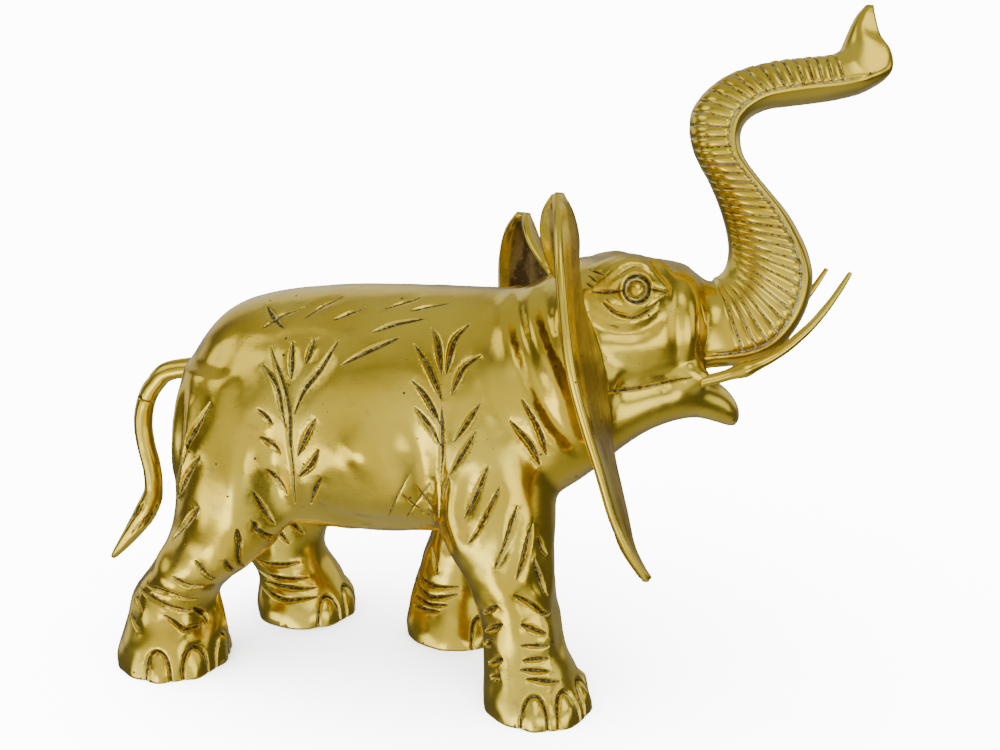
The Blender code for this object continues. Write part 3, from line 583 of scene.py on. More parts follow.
class Relief:
    """What is cut into or raised on the skin, as lines with a half width and a height."""

    def __init__(self):
        self.lines = []

    def add(self, points, half_width, height, taper=0.15, lip=0.0):
        if len(points) > 1:
            self.lines.append((np.array([point[:] for point in points]), half_width, height, taper, lip))

    def samples(self):
        """Points along all lines, for finding what lies near one."""
        spots = []
        for points, half_width, height, taper, lip in self.lines:
            for start, end in zip(points, points[1:]):
                count = max(1, int(np.linalg.norm(end - start) / 0.8))
                for i in range(count):
                    spots.append(start + (end - start) * i / count)
            spots.append(points[-1])
        return spots

    def nearest(self, vertices, line, reach):
        """Indices of vertices near a line, their distance to it, and the share of its length."""
        points = line[0]
        low, high = points.min(0) - reach, points.max(0) + reach
        index = np.nonzero(((vertices > low) & (vertices < high)).all(1))[0]
        if not len(index):
            return index, None, None
        spots = vertices[index]
        lengths = np.linalg.norm(np.diff(points, axis=0), axis=1)
        total = max(lengths.sum(), 1e-6)
        best = np.full(len(index), 1e9)
        share = np.zeros(len(index))
        walked = 0.0
        for start, end, length in zip(points, points[1:], lengths):
            if length < 1e-6:
                continue
            along = (end - start) / length
            t = np.clip((spots - start) @ along, 0, length)
            gap = np.linalg.norm(spots - start - t[:, None] * along, axis=1)
            closer = gap < best
            best[closer] = gap[closer]
            share[closer] = (walked + t[closer]) / total
            walked += length
        return index, best, share

    def soft_push(self, vertices):
        """Height of the broad folds at each vertex."""
        push = np.zeros(len(vertices))
        for line in self.lines:
            points, half_width, height, taper, lip = line
            index, gap, share = self.nearest(vertices, line, 3 * half_width)
            if len(index):
                size = np.sin(np.pi * np.clip(0.12 + 0.76 * share, 0, 1)) ** 0.7
                push[index] += height * size * np.exp(-(gap / half_width) ** 2)
        return push

    def cut(self, vertices):
        """Depth cut at each vertex, height of the lips thrown up beside, and how dark it is."""
        deep = np.zeros(len(vertices))
        lips = np.zeros(len(vertices))
        dark = np.zeros(len(vertices))
        for line in self.lines:
            points, half_width, height, taper, lip = line
            index, gap, share = self.nearest(vertices, line, 5 * half_width)
            if not len(index):
                continue
            size = taper + (1 - taper) * np.sin(np.pi * np.clip(share, 0, 1)) ** 0.6
            wide = half_width * size
            inside = np.clip(1 - gap / wide, 0, 1)
            trough = TROUGH_DEPTH * np.exp(-(gap / (TROUGH_WIDTH * half_width)) ** 2)
            deep[index] = np.maximum(deep[index], height * size * (np.minimum(1.0, 1.2 * inside) + trough))
            ridge = lip * size * np.exp(-((gap - 1.35 * wide) / (0.5 * wide + 0.05)) ** 2)
            lips[index] = np.maximum(lips[index], ridge)
            dark[index] = np.maximum(dark[index], np.clip(2.2 * inside - 0.6, 0, 1))
        return deep, lips, dark


def lay_forms(skin):
    """The broad folds and hollows of flanks and face."""
    forms = Relief()
    for side in SIDES:
        for height, half_width, pairs in FLANK_FORMS:
            forms.add(skin.flank(pairs, side), half_width, height * FORM_STRENGTH)
        for height, half_width, pairs in FACE_FORMS:
            forms.add(skin.face(pairs, side), half_width, height)
    return forms


def lay_cuts(skin):
    """All chased strokes of each side: plants, wrinkles, toenails and the lines of the face."""
    cuts = {side: Relief() for side in SIDES}
    for side in SIDES:
        for lines, *sizes in BOTH_SIDES:
            for pairs in lines:
                cuts[side].add(skin.flank(pairs, side), *sizes)
        for half_width, depth, pairs in FACE_CUTS:
            cuts[side].add(skin.face(pairs, side), half_width, depth, 0.35, 0.1)
    for lines, from_y, *sizes in NEAR_SIDE:
        for pairs in lines:
            cuts[NEAR].add(skin.flank(pairs, NEAR, from_y), *sizes)
    for i, (foot, radius, outward) in enumerate(nail_places()):
        side = LEGS[i // len(NAIL_ANGLES)][1]
        cuts[side].add(nail_arch(skin, foot, radius, outward), 1.3, 1.5, 0.6, 0.2)
    return cuts


def lay_lids(skin):
    lids = Relief()
    for side in SIDES:
        for height, half_width, pairs in LIDS:
            lids.add(skin.face(pairs, side), half_width, height)
    return lids


def nail_arch(skin, foot, radius, outward):
    """The arch cut round a toenail."""
    sideways = outward.cross(Vector((0, 0, 1)))
    spots = []
    for i in range(15):
        angle = math.pi * i / 14
        spot = foot + sideways * (NAIL_HALF_WIDTH * math.cos(angle))
        spot.z = 0.4 + (NAIL_LENGTH - 0.4) * math.sin(angle) ** 0.8
        point, normal, index, distance = skin.tree.ray_cast(spot + outward * radius * 2, -outward)
        if point is not None:
            spots.append(point)
    return spots


def eye_relief(vertices):
    """Height of the eyes' rings and beads at each vertex, and how dark it is there."""
    raised = np.zeros(len(vertices))
    dark = np.zeros(len(vertices))
    flat = matrix_array(head_turn().inverted(), vertices)
    gap = np.hypot(flat[:, 0] - EYE[0], flat[:, 2] - EYE[1])
    here = (gap < IRIS_RADIUS * 1.6) & (np.abs(flat[:, 1]) > 28)
    r = gap[here]
    bead = BEAD_HEIGHT * np.sqrt(np.clip(1 - (r / PUPIL_RADIUS) ** 2, 0, 1))
    socket = -SOCKET_DEPTH * np.clip((IRIS_RADIUS - r) / 0.9, 0, 1)
    ring = RING_HEIGHT * np.exp(-((r - IRIS_RING) / 0.35) ** 2)
    lid = 0.5 * np.exp(-((r - IRIS_RADIUS - 0.9) / 0.8) ** 2)
    raised[here] = socket + ring + bead + lid
    shade = np.clip((IRIS_RADIUS + 0.5 - r) / 0.5, 0, 1) * np.clip((r - PUPIL_RADIUS + 0.2) / 0.5, 0, 1)
    dark[here] = shade * (1 - 0.8 * np.exp(-((r - 4.5) / 0.4) ** 2))
    return raised, dark


def trunk_angles():
    """Angles round the trunk's section, closer together at the rim groove."""
    rim = math.acos(RIM_RISE)
    half = [(i + 0.5) * (rim - 0.16) / 10 for i in range(10)]
    half += [rim - 0.11, rim - 0.06, rim, rim + 0.06, rim + 0.11]
    left = rim + 0.16
    half += [left + (math.pi - left) * (i + 0.5) / 6 for i in range(6)]
    return half + [2 * math.pi - angle for angle in reversed(half)]


def station_at(stations, lengths, distance):
    index = 1
    while index < len(lengths) - 1 and lengths[index] < distance:
        index += 1
    share = (distance - lengths[index - 1]) / (lengths[index] - lengths[index - 1])
    return tuple(a + (b - a) * share for a, b in zip(stations[index - 1], stations[index]))


def trunk_marks():
    """Distances along the trunk, each with its depth of groove and which ring it belongs to."""
    pitch = (RINGS_END - RINGS_START) / RING_COUNT
    marks = [(RINGS_START * i / ROOT_MARKS, 0.0, 0) for i in range(ROOT_MARKS)]
    for ring in range(RING_COUNT):
        shift = 0.16 * noise.noise(Vector((ring * 0.83, 4.1, 0.3)))
        for share, cut in RING_PROFILE:
            moved = share + shift * math.sin(math.pi * share)
            marks.append((RINGS_START + (ring + moved) * pitch, cut, ring))
    for i in range(BLADE_MARKS + 1):
        marks.append((RINGS_END + (1 - RINGS_END) * i / BLADE_MARKS, 0.0, RING_COUNT))
    return marks


def trunk_skin():
    """The trunk with its fine grooves, the rim beside its flat under side, and the blade at its tip."""
    stations = smooth_row(TRUNK, 8)
    lengths = [0.0]
    for before, after in zip(stations, stations[1:]):
        step = math.dist(before[0:2], after[0:2]) + math.dist(before[2:4], after[2:4])
        lengths.append(lengths[-1] + step / 2)
    angles = trunk_angles()
    turn = head_turn()
    rings = []
    darkness = []
    for mark, cut, ring in trunk_marks():
        lean = float(np.interp(mark, [m for m, shift in RING_LEAN], [shift for m, shift in RING_LEAN]))
        back = station_at(stations, lengths, (mark - lean / 2) * lengths[-1])
        under = station_at(stations, lengths, (mark + lean / 2) * lengths[-1])
        station = back[:2] + under[2:]
        points, dark = trunk_ring(station, angles, cut, ring, mark)
        rings.append([turn @ point for point in points])
        darkness += dark
    build = bmesh.new()
    add_loft(build, rings)
    return build, darkness


def trunk_ring(station, angles, cut, ring, mark):
    back_x, back_z, under_x, under_z, wide, twist = station
    center = Vector(((back_x + under_x) / 2, 0, (back_z + under_z) / 2))
    back = Vector((back_x, 0, back_z)) - center
    thick = back.length
    back.normalize()
    side_way = Vector((0, 1, 0))
    turn = math.radians(twist)
    back, side_way = (
        back * math.cos(turn) + side_way * math.sin(turn), side_way * math.cos(turn) - back * math.sin(turn))
    ends = 0.99 - 0.3 * max(0.0, 1 - mark / 0.42) + 0.12 * noise.noise(Vector((ring * 1.7, 0.2, 7.3)))
    body = min(1.0, max(0.0, (mark - 0.02) / 0.05)) * min(1.0, max(0.0, (RINGS_END + 0.04 - mark) / 0.03))
    points, dark = [], []
    for angle in angles:
        rise, side = math.cos(angle), math.sin(angle)
        sway = 1 + 0.5 * noise.noise(Vector((ring * 2.1, side * 3.0, rise * 3.0)))
        ringed = cut * min(1.0, max(0.0, (ends - rise) / 0.22)) * (rise > RIM_RISE - 0.02)
        rim_cut = math.exp(-((math.acos(max(-1, min(1, rise))) - math.acos(RIM_RISE)) / 0.055) ** 2) * body
        band = 0.35 * body * max(0.0, 1 - abs(rise - (RIM_RISE - 0.2)) / 0.18)
        depth = ringed * RING_DEPTH * min(1.3, max(0.5, sway))
        if rim_cut > 0.05:
            depth = max(depth, 0.7 * rim_cut)
        shape = 1.0 - depth / thick + band / thick
        if rise < 0:
            rise_out = signed_power(rise, UNDER_FLATNESS)
            side_out = signed_power(side, UNDER_CORNER)
        else:
            rise_out, side_out = rise, side
        scoop = 1 - SCOOP[2] / wide * side * side * max(0.0, 1 - ((mark - SCOOP[0]) / SCOOP[1]) ** 2)
        points.append(center + (back * (rise_out * thick) + side_way * (side_out * wide * scoop)) * shape)
        dark.append(max(min(1.0, 1.5 * ringed), 0.8 * rim_cut))
    return points, dark


def ear_point(side, sweep, above, below, station, share):
    z, inner_y, outer_y, inner_x, outer_x, bulge = station
    x = inner_x + (outer_x - inner_x) * share + bulge * 4 * share * (1 - share)
    y = inner_y + (outer_y - inner_y) * share
    angle = math.radians(sweep)
    ahead, out = x - EAR_ROOT[0], y - EAR_ROOT[1]
    x = EAR_ROOT[0] + ahead * math.cos(angle) - out * math.sin(angle)
    y = EAR_ROOT[1] + ahead * math.sin(angle) + out * math.cos(angle)
    tall = above if z > EAR_MIDDLE else below
    return head_turn() @ Vector((x, side * y, EAR_MIDDLE + (z - EAR_MIDDLE) * tall))


def ear_skin(side, sweep, above, below, columns, steps):
    """An ear: rolled rim, finely ribbed front, rough hollow back. Gives its skin and the back's share."""
    stations = smooth_row(EAR, steps)
    rows = len(stations)
    middle = np.array([
        [ear_point(side, sweep, above, below, station, c / columns)[:] for c in range(columns + 1)]
        for station in stations])
    along = np.gradient(middle, axis=0)
    across = np.gradient(middle, axis=1)
    normal = np.cross(along, across)
    normal /= np.linalg.norm(normal, axis=2, keepdims=True)
    forward = np.array(head_turn().to_3x3() @ Vector((1, 0, 0)))
    if (normal @ forward).mean() < 0:
        normal = -normal
    share = np.linspace(0, 1, columns + 1)[None, :]
    down = np.linspace(0, 1, rows)[:, None]
    edge = np.minimum(np.minimum(share * 1.2, 1 - share) * 2, np.minimum(down, 1 - down) * 5)
    rim = np.exp(-(edge / 0.12) ** 2)
    ribs = np.array([[
        noise.noise(Vector((c * 1.15, r * 0.045, side * 5.0)))
        + 0.5 * noise.noise(Vector((c * 2.3, r * 0.08, 9.0))) for c in range(columns + 1)]
        for r in range(rows)])
    lumps = np.array([[
        noise.noise(Vector((c * 0.45, r * 0.4, side * 3.0 + 11))) for c in range(columns + 1)]
        for r in range(rows)])
    calm = np.clip((edge - 0.1) / 0.2, 0, 1)
    front = middle + normal * (EAR_HALF_THICKNESS + EAR_RIM * rim + 0.32 * ribs * calm)[:, :, None]
    back = middle - normal * (EAR_HALF_THICKNESS + EAR_RIM * rim + (0.5 * lumps - 0.9) * calm)[:, :, None]
    build = bmesh.new()
    fronts = [[build.verts.new(point) for point in row] for row in front]
    backs = [[build.verts.new(point) for point in row] for row in back]
    hollow = np.concatenate([FRONT_DULLNESS * calm.ravel(), calm.ravel()])
    for r in range(rows - 1):
        for c in range(columns):
            build.faces.new((fronts[r][c], fronts[r][c + 1], fronts[r + 1][c + 1], fronts[r + 1][c]))
            build.faces.new((backs[r][c], backs[r + 1][c], backs[r + 1][c + 1], backs[r][c + 1]))
    border = [(0, c) for c in range(columns + 1)] + [(r, columns) for r in range(1, rows)]
    border += [(rows - 1, c) for c in range(columns - 1, -1, -1)] + [(r, 0) for r in range(rows - 2, 0, -1)]
    outward = []
    for r, c in border:
        inner = middle[min(max(r, 1), rows - 2), min(max(c, 1), columns - 1)]
        way = middle[r, c] - inner
        outward.append(way / max(np.linalg.norm(way), 1e-9))
    edges = [build.verts.new(middle[r, c] + way * 1.1) for (r, c), way in zip(border, outward)]
    hollow = np.concatenate([hollow, np.zeros(len(edges))])
    for i in range(len(border)):
        j = (i + 1) % len(border)
        (r0, c0), (r1, c1) = border[i], border[j]
        build.faces.new((fronts[r0][c0], edges[i], edges[j], fronts[r1][c1]))
        build.faces.new((backs[r0][c0], backs[r1][c1], edges[j], edges[i]))
    return build, hollow


def tube_rings(points, radii, sides, shape=None):
    """Rings across a bent centre line; `shape` gives a height for a share of the length and an angle."""
    rings = []
    up = Vector((0, 1, 0))
    for i, (point, radius) in enumerate(zip(points, radii)):
        along = (points[min(i + 1, len(points) - 1)] - points[max(i - 1, 0)]).normalized()
        across = along.cross(up).normalized()
        rise = across.cross(along).normalized()
        ring = []
        for k in range(sides):
            angle = 2 * math.pi * k / sides
            size = radius + (shape(i / (len(points) - 1), angle) if shape else 0.0)
            ring.append(point + (across * math.cos(angle) + rise * math.sin(angle)) * size)
        rings.append(ring)
    return rings


def tail_radius(share):
    radius = TAIL_RADIUS * (1 + TAIL_ROOT_SWELL * max(0.0, 1 - 5 * share))
    if share > TUFT_START:
        tuft = (share - TUFT_START) / (1 - TUFT_START)
        radius *= 1 + TUFT_SWELL * math.sin(math.pi * tuft) - TUFT_TAPER * tuft ** 3
    return radius


def tail_relief(share, angle):
    """The leaf-like cuts of the tuft, and slight unevenness."""
    height = 0.14 * noise.noise(Vector((share * 22, math.cos(angle), math.sin(angle))))
    if share > TUFT_START:
        tuft = (share - TUFT_START) / (1 - TUFT_START)
        wave = abs(math.sin(2.5 * angle + 5.0 * tuft))
        height -= 0.95 * math.sin(math.pi * min(1.0, tuft * 1.08)) * max(0.0, 1 - wave / 0.42)
    return height


def tail_rings(sides):
    points = [Vector(point) for point in smooth_row(TAIL_LINE, TAIL_STEPS)]
    last = len(points) - 1
    radii = [tail_radius(i / last) for i in range(last + 1)]
    return tube_rings(points, radii, sides, tail_relief), TAIL_SEAM * TAIL_STEPS


def tail_stub():
    rings, seam = tail_rings(STUB_SIDES)
    build = bmesh.new()
    add_loft(build, rings[:seam + 1])
    return build


def union_all(base, others):
    """One skin out of the body and what is cast with it."""
    joined = bpy.data.collections.new("joined")
    bpy.context.scene.collection.children.link(joined)
    body = scratch_object("base", base)
    pieces = [scratch_object("joined", build, joined) for build in others]
    step = body.modifiers.new("Union", "BOOLEAN")
    step.operation = "UNION"
    step.solver = "EXACT"
    step.operand_type = "COLLECTION"
    step.collection = joined
    result = evaluated_bmesh(body)
    for piece in pieces:
        discard(piece)
    discard(body)
    bpy.data.collections.remove(joined)
    return result


def soften_seams(build, base_tree, other_trees):
    """Fillet the creases where trunk, ears and tail leave the body."""
    seam = []
    for vert in build.verts:
        if abs(vert.normal.length - 1) > 0.5:
            continue
        if base_tree.find_nearest(vert.co, ON_SKIN)[0] is None:
            continue
        if any(tree.find_nearest(vert.co, ON_SKIN)[0] is not None for tree in other_trees):
            seam.append(vert.co.copy())
    if not seam:
        return
    spots = tree_of(seam)
    root = head_turn() @ TRUNK_SEAM
    for far_off, reach, rounds in SEAMS:
        band = [vert for vert in build.verts if spots.find(vert.co)[2] < reach
                and ((vert.co - root).length > TRUNK_SEAM_SIZE) == far_off]
        for i in range(rounds):
            bmesh.ops.smooth_vert(
                build, verts=band, factor=0.5, use_axis_x=True, use_axis_y=True, use_axis_z=True)


def refine(build, fine, coarse):
    """Divide the skin's faces near cut lines, more and more finely; the last step is for `fine` alone."""
    size = VOXEL
    for reach in REFINE_REACH:
        spots = fine if reach == REFINE_REACH[-1] else fine + coarse
        tree = tree_of(spots)
        edges = []
        for edge in build.edges:
            if edge.calc_length() > 0.62 * size:
                middle = (edge.verts[0].co + edge.verts[1].co) / 2
                if tree.find(middle)[2] < reach:
                    edges.append(edge)
        bmesh.ops.subdivide_edges(build, edges=edges, cuts=1, use_grid_fill=True, smooth=0.0)
        crowded = [face for face in build.faces if len(face.verts) > 4]
        bmesh.ops.triangulate(build, faces=crowded)
        size /= 2


def carried(source, values, points, reach=0.5):
    """Values known at some points, read at others that lie on them."""
    tree = tree_of(source)
    low, high = np.min(source, axis=0) - 1, np.max(source, axis=0) + 1
    result = np.zeros(len(points))
    for i in np.nonzero(((points > low) & (points < high)).all(1))[0]:
        spot, index, distance = tree.find(points[i])
        if distance < reach:
            result[i] = values[index]
    return result


def hand_made(points):
    """Height of the slight unevenness that filing and polishing leave."""
    heights = np.zeros(len(points))
    for i, point in enumerate(points):
        spot = Vector(point)
        low = min(1.0, max(0.0, (LEG_TOP - spot.z) / 30))
        broad, fine = noise.noise(spot / 26), noise.noise(spot / 11 + Vector((7, 3, 1)))
        heights[i] = (0.35 + 0.4 * low) * broad + (0.1 + 0.8 * low) * fine
    return heights


def frame_shift():
    """How far the figure's own axes lie from the frame's, found from the near tusk."""
    low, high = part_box("tusk_right")
    rings = tusk_rings(NEAR, 8, 2)
    points = np.array([point[:] for ring in rings for point in ring])
    middle = (points.min(0) + points.max(0)) / 2 * MILLIMETRE
    shift = (np.array(low) + np.array(high)) / 2 - middle
    return np.array([shift[0], shift[1], 0.0])


def tusk_rings(side, sides, steps, solder=0.0):
    line = [head_turn() @ Vector((x, side * y, z)) for x, y, z in smooth_row(TUSK_LINE, steps)]
    radii = []
    for i in range(len(line)):
        share = i / (len(line) - 1)
        swell = solder * math.exp(-((share - SOLDER_PLACE) / 0.05) ** 2)
        radii.append(TUSK_RADIUS + (TUSK_TIP_RADIUS - TUSK_RADIUS) * share ** TUSK_TAPER + swell)
    return tube_rings(line, radii, sides)


def place(name, points, faces, material, values=None):
    """A finished piece: points in millimetres on the figure's axes, and its shares of tarnish and hollow."""
    mesh = bpy.data.meshes.new(name)
    mesh.from_pydata((np.asarray(points) * MILLIMETRE + SHIFT).tolist(), [], faces)
    for label, numbers in (values or {}).items():
        attribute = mesh.attributes.new(label, "FLOAT", "POINT")
        attribute.data.foreach_set("value", np.asarray(numbers, dtype=np.float32))
    mesh.shade_smooth()
    mesh.materials.append(material)
    piece = bpy.data.objects.new(name, mesh)
    bpy.context.scene.collection.objects.link(piece)
    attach(piece, "root")
    return piece


def bmesh_lists(build):
    build.verts.ensure_lookup_table()
    build.verts.index_update()
    return coordinates(build), [[vert.index for vert in face.verts] for face in build.faces]


def casting(material):
    """The main casting: body, head, ears, trunk and the stub of the tail."""
    base = body_masses()
    points, normals = arrays_of(base)
    forms = lay_forms(Skin(base))
    put_back(base, points + normals * (forms.soft_push(points) + hand_made(points))[:, None])
    cut_at_floor(base)
    skin = Skin(base)
    trunk, trunk_dark = trunk_skin()
    ears = [ear_skin(*ear) for ear in EARS]
    stub = tail_stub()
    trunk_points = coordinates(trunk)
    hollows = [(coordinates(ear), hollow) for ear, hollow in ears]
    others = [trunk, ears[0][0], ears[1][0], stub]
    trees = [BVHTree.FromBMesh(build) for build in others]
    whole = union_all(base, others)
    bmesh.ops.triangulate(whole, faces=[face for face in whole.faces if len(face.verts) > 4])
    points = coordinates(whole)
    dark = carried(trunk_points, trunk_dark, points)
    hollow = sum(carried(source, values, points) for source, values in hollows)
    dark_layer = whole.verts.layers.float.new("dark")
    hollow_layer = whole.verts.layers.float.new("hollow")
    for vert, d, h in zip(whole.verts, dark, hollow):
        vert[dark_layer] = d
        vert[hollow_layer] = h
    soften_seams(whole, skin.tree, trees)
    cuts = lay_cuts(skin)
    refine(whole, *([Vector(spot) for spot in cuts[side].samples()] + eye_ring(skin, side) for side in SIDES))
    points, normals = arrays_of(whole)
    cuts[NEAR].lines += cuts[FAR].lines
    deep, lips, shade = cuts[NEAR].cut(points)
    eye, eye_dark = eye_relief(points)
    raised = lay_lids(skin).soft_push(points) * np.clip(1 - eye_dark, 0, 1)
    points = points + normals * (eye + raised + lips - deep)[:, None]
    points[:, 2] = np.maximum(points[:, 2], 0.0)
    dark = np.array([vert[dark_layer] for vert in whole.verts])
    hollow = np.array([vert[hollow_layer] for vert in whole.verts])
    tarnish = np.maximum(np.maximum(dark, shade), eye_dark)
    faces = bmesh_lists(whole)[1]
    points, faces, source = thinned(points, faces)
    shares = {"tarnish": tarnish[source], "hollow": hollow[source], "patina": dark[source]}
    piece = place("elephant_casting", points, faces, material, shares)
    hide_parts("elephant_body")
    return piece


def thinned(points, faces):
    """The skin with no more triangles than allowed, and the old point nearest to each new one."""
    mesh = bpy.data.meshes.new("full skin")
    mesh.from_pydata(points.tolist(), [], faces)
    full = bpy.data.objects.new("full skin", mesh)
    bpy.context.scene.collection.objects.link(full)
    thin = full.modifiers.new("Thin", "DECIMATE")
    thin.ratio = min(1.0, TRIANGLE_LIMIT / sum(len(face) - 2 for face in faces))
    build = evaluated_bmesh(full)
    discard(full)
    new_points, new_faces = bmesh_lists(build)
    build.free()
    tree = tree_of(points)
    return new_points, new_faces, np.array([tree.find(point)[1] for point in new_points])


def eye_ring(skin, side):
    """Points on the skin over the whole eye, so that it is divided finely."""
    found = []
    for radius in EYE_CIRCLES:
        count = max(1, int(radius * 5))
        for k in range(count):
            angle = 2 * math.pi * k / count
            x, z = EYE[0] + radius * math.cos(angle), EYE[1] + radius * math.sin(angle)
            found += skin.face((x, z, x + 0.01, z), side)[:1]
    return found


def loft_of(rings):
    """A closed skin through rings, its faces turned outwards."""
    build = bmesh.new()
    add_loft(build, rings)
    bmesh.ops.recalc_face_normals(build, faces=build.faces)
    return build


def tail(material):
    rings, seam = tail_rings(TAIL_SIDES)
    shift = (rings[seam + 1][0] - rings[seam][0]).normalized() * BRAZED_GAP
    rings[seam] = [point + shift for point in rings[seam]]
    points, faces = bmesh_lists(loft_of(rings[seam:]))
    tarnish = []
    for i in range(len(points)):
        ring, k = divmod(i, TAIL_SIDES)
        height = tail_relief((seam + ring) / (len(rings) - 1), 2 * math.pi * k / TAIL_SIDES)
        tarnish.append(max(0.0, min(1.0, -1.6 * height - 0.2)))
    shares = {"tarnish": tarnish, "hollow": np.zeros(len(points))}
    piece = place("brass_tail", points, faces, material, shares)
    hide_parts("tail")


def tusk(side, name, node, material):
    rings = tusk_rings(side, TUSK_SIDES, TUSK_STEPS, SOLDER_SWELL)
    center = sum(rings[-1], Vector()) / len(rings[-1])
    along = (center - sum(rings[-2], Vector()) / len(rings[-2])).normalized()
    for size, ahead in ((0.85, 0.35), (0.5, 0.62)):
        rings.append([center + (point - center) * size + along * ahead for point in rings[-1 - (size < 0.8)]])
    build = loft_of(rings)
    points, faces = bmesh_lists(build)
    normals = arrays_of(build)[1]
    bumps = np.array([0.12 * noise.noise(Vector(point) / 7) for point in points])
    points = points + normals * bumps[:, None]
    clean = np.zeros(len(points))
    piece = place(name, points, faces, material, {"tarnish": clean, "hollow": clean})
    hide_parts(node)


class Nodes:
    """Short ways to lay nodes into the tree of a material or a world."""

    def __init__(self, tree):
        self.tree = tree

    def link(self, value, socket):
        """Link another node's socket to this one, or set its value."""
        if isinstance(value, bpy.types.NodeSocket):
            self.tree.links.new(value, socket)
        else:
            socket.default_value = value

    def add(self, kind, inputs=None, **settings):
        made = self.tree.nodes.new(kind)
        for key, value in settings.items():
            setattr(made, key, value)
        for key, value in (inputs or {}).items():
            self.link(value, made.inputs[key])
        return made.outputs

    def mix(self, share, first, second):
        return self.add("ShaderNodeMix", {0: share, 6: first, 7: second}, data_type="RGBA")[2]

    def calc(self, operation, *values, clamp=False):
        return self.add("ShaderNodeMath", dict(enumerate(values)), operation=operation, use_clamp=clamp)[0]

    def times(self, first, second):
        return self.calc("MULTIPLY", first, second)

    def plus(self, first, second):
        return self.calc("ADD", first, second)

    def larger(self, first, second):
        return self.calc("MAXIMUM", first, second)

    def ramp(self, value, low, high):
        """0 below `low`, 1 above `high`, smooth between."""
        limits = {"From Min": low, "From Max": high, "Value": value}
        return self.add("ShaderNodeMapRange", limits, interpolation_type="SMOOTHSTEP")["Result"]

    def noise(self, spot, scale, detail):
        return self.add("ShaderNodeTexNoise", {"Vector": spot, "Scale": scale, "Detail": detail})["Fac"]

    def share(self, name):
        """A share that the mesh carries at its points."""
        return self.add("ShaderNodeAttribute", attribute_name=name)["Fac"]

    def pits(self, spot):
        """1 in the scattered casting pits, small ones and a few larger."""
        both = 0.0
        for scale, rarest in ((170.0, 0.80), (420.0, 0.86)):
            cells = self.add("ShaderNodeTexVoronoi", {"Vector": spot, "Scale": scale, "Randomness": 1.0})
            chosen = self.add("ShaderNodeSeparateColor", {"Color": cells["Color"]})["Red"]
            inside = self.calc("LESS_THAN", cells["Distance"], self.times(chosen, 0.11))
            both = self.larger(both, self.times(inside, self.ramp(chosen, rarest, rarest + 0.01)))
        return both


def new_material(name):
    material = bpy.data.materials.new(name)
    material.use_nodes = True
    return material, material.node_tree.nodes["Principled BSDF"].inputs


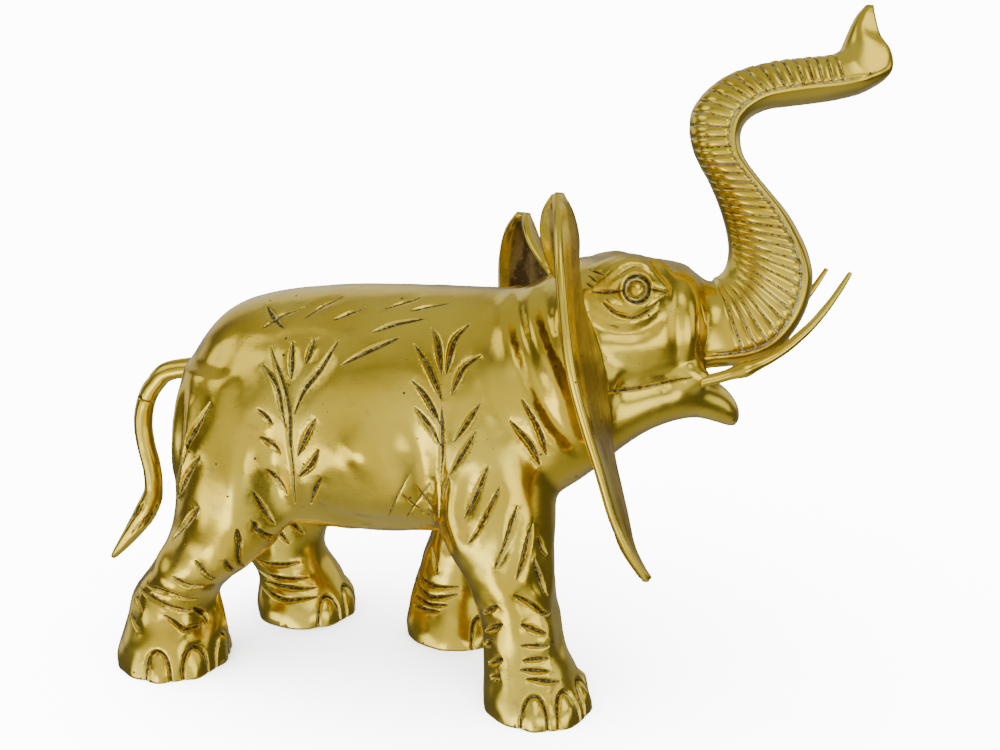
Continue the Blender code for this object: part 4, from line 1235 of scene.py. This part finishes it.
def brass_material():
    """Polished cast brass with tarnish in what is cut, pits, fine scratches and rough hollows."""
    material, shader = new_material("polished brass")
    nodes = Nodes(material.node_tree)
    spot = nodes.add("ShaderNodeTexCoord")["Object"]
    tarnish, hollow, patina = (nodes.share(name) for name in ("tarnish", "hollow", "patina"))
    cloud = nodes.noise(spot, 26.0, 4.0)
    patch = nodes.noise(spot, 95.0, 5.0)
    speck = nodes.noise(spot, 620.0, 2.0)
    wave = nodes.noise(spot, 150.0, 1.0)
    pits = nodes.pits(spot)
    warm = nodes.mix(nodes.ramp(cloud, 0.38, 0.66), BRASS_DEEP, BRASS_LIGHT)
    dull = nodes.mix(nodes.ramp(patch, 0.60, 0.80), warm, BRASS_DULL)
    crust = nodes.mix(nodes.ramp(speck, 0.44, 0.68), CRUST_DARK, CRUST_LIGHT)
    soil = nodes.ramp(nodes.plus(tarnish, nodes.times(patch, 0.5)), 0.55, 1.0)
    bloom = nodes.times(nodes.ramp(patina, 0.3, 0.8), nodes.ramp(speck, 0.36, 0.54))
    cut_color = nodes.mix(soil, dull, nodes.mix(bloom, crust, PATINA))
    brown = nodes.mix(nodes.ramp(patch, 0.42, 0.62), BROWN_DARK, BROWN_LIGHT)
    flecked = nodes.mix(nodes.ramp(speck, 0.62, 0.72), brown, BRASS_DULL)
    rough_zone = nodes.ramp(hollow, 0.25, 0.8)
    with_hollow = nodes.mix(rough_zone, cut_color, flecked)
    nodes.link(nodes.mix(pits, with_hollow, CRUST_DARK), shader["Base Color"])
    shader["Metallic"].default_value = 1.0
    dirty = nodes.larger(nodes.larger(soil, pits), rough_zone)
    satin = nodes.plus(0.10, nodes.times(cloud, 0.26))
    nodes.link(nodes.calc("ADD", satin, nodes.times(dirty, 0.35), clamp=True), shader["Roughness"])
    stretched = nodes.add("ShaderNodeMapping", {
        "Vector": spot, "Scale": (170, 170, 1600), "Rotation": (0.5, 0.3, 0.2)})["Vector"]
    scratches = nodes.noise(stretched, 1.0, 2.0)
    coarse = nodes.times(nodes.larger(rough_zone, soil), patch)
    fine = nodes.plus(nodes.times(scratches, 0.09), nodes.times(wave, 0.45))
    deep = nodes.calc("SUBTRACT", nodes.times(coarse, 1.6), pits)
    relief = {"Height": nodes.plus(fine, deep), "Strength": 0.35, "Distance": 0.0006}
    nodes.link(nodes.add("ShaderNodeBump", relief)["Normal"], shader["Normal"])
    return material


def floor():
    bpy.ops.mesh.primitive_plane_add(size=FLOOR_SIZE, location=(0, 0, 0))
    ground = bpy.context.object
    ground.name = "floor"
    material, shader = new_material("pale floor")
    shader["Base Color"].default_value = FLOOR_COLOR
    shader["Roughness"].default_value = 1.0
    shader["Metallic"].default_value = 0.0
    ground.data.materials.append(material)
    ground.visible_glossy = False


def studio():
    """A dim room with soft bright panels round the figure, and an overhead lamp for the white floor."""
    world = bpy.data.worlds.new("studio")
    bpy.context.scene.world = world
    world.use_nodes = True
    nodes = Nodes(world.node_tree)
    direction = nodes.add("ShaderNodeTexCoord")["Generated"]
    light = ROOM_LIGHT
    for way, edge, middle, strength in PANELS:
        ways = {0: direction, 1: Vector(way).normalized()}
        facing = nodes.add("ShaderNodeVectorMath", ways, operation="DOT_PRODUCT")["Value"]
        light = nodes.plus(light, nodes.times(nodes.ramp(facing, edge, middle), strength))
    background = world.node_tree.nodes["Background"].inputs
    background["Color"].default_value = ROOM_COLOR
    nodes.link(light, background["Strength"])
    lamp = bpy.data.lights.new("floor lamp", "SUN")
    lamp.energy = LAMP_STRENGTH
    lamp.angle = math.radians(LAMP_SPREAD)
    above = bpy.data.objects.new("floor lamp", lamp)
    above.rotation_euler = (*map(math.radians, LAMP_TILT), 0)
    above.visible_glossy = False
    bpy.context.scene.collection.objects.link(above)


def camera():
    lens = bpy.data.cameras.new("camera")
    lens.lens = LENS
    lens.sensor_width = SENSOR_WIDTH
    view = bpy.data.objects.new("camera", lens)
    view.location = CAMERA_PLACE
    view.rotation_euler = (math.radians(CAMERA_TILT), 0, math.radians(CAMERA_TURN))
    bpy.context.scene.collection.objects.link(view)
    bpy.context.scene.camera = view


SHIFT = frame_shift()
camera()
studio()
floor()
brass = brass_material()
casting(brass)
tail(brass)
tusk(NEAR, "brass_tusk_right", "tusk_right", brass)
tusk(FAR, "brass_tusk_left", "tusk_left", brass)
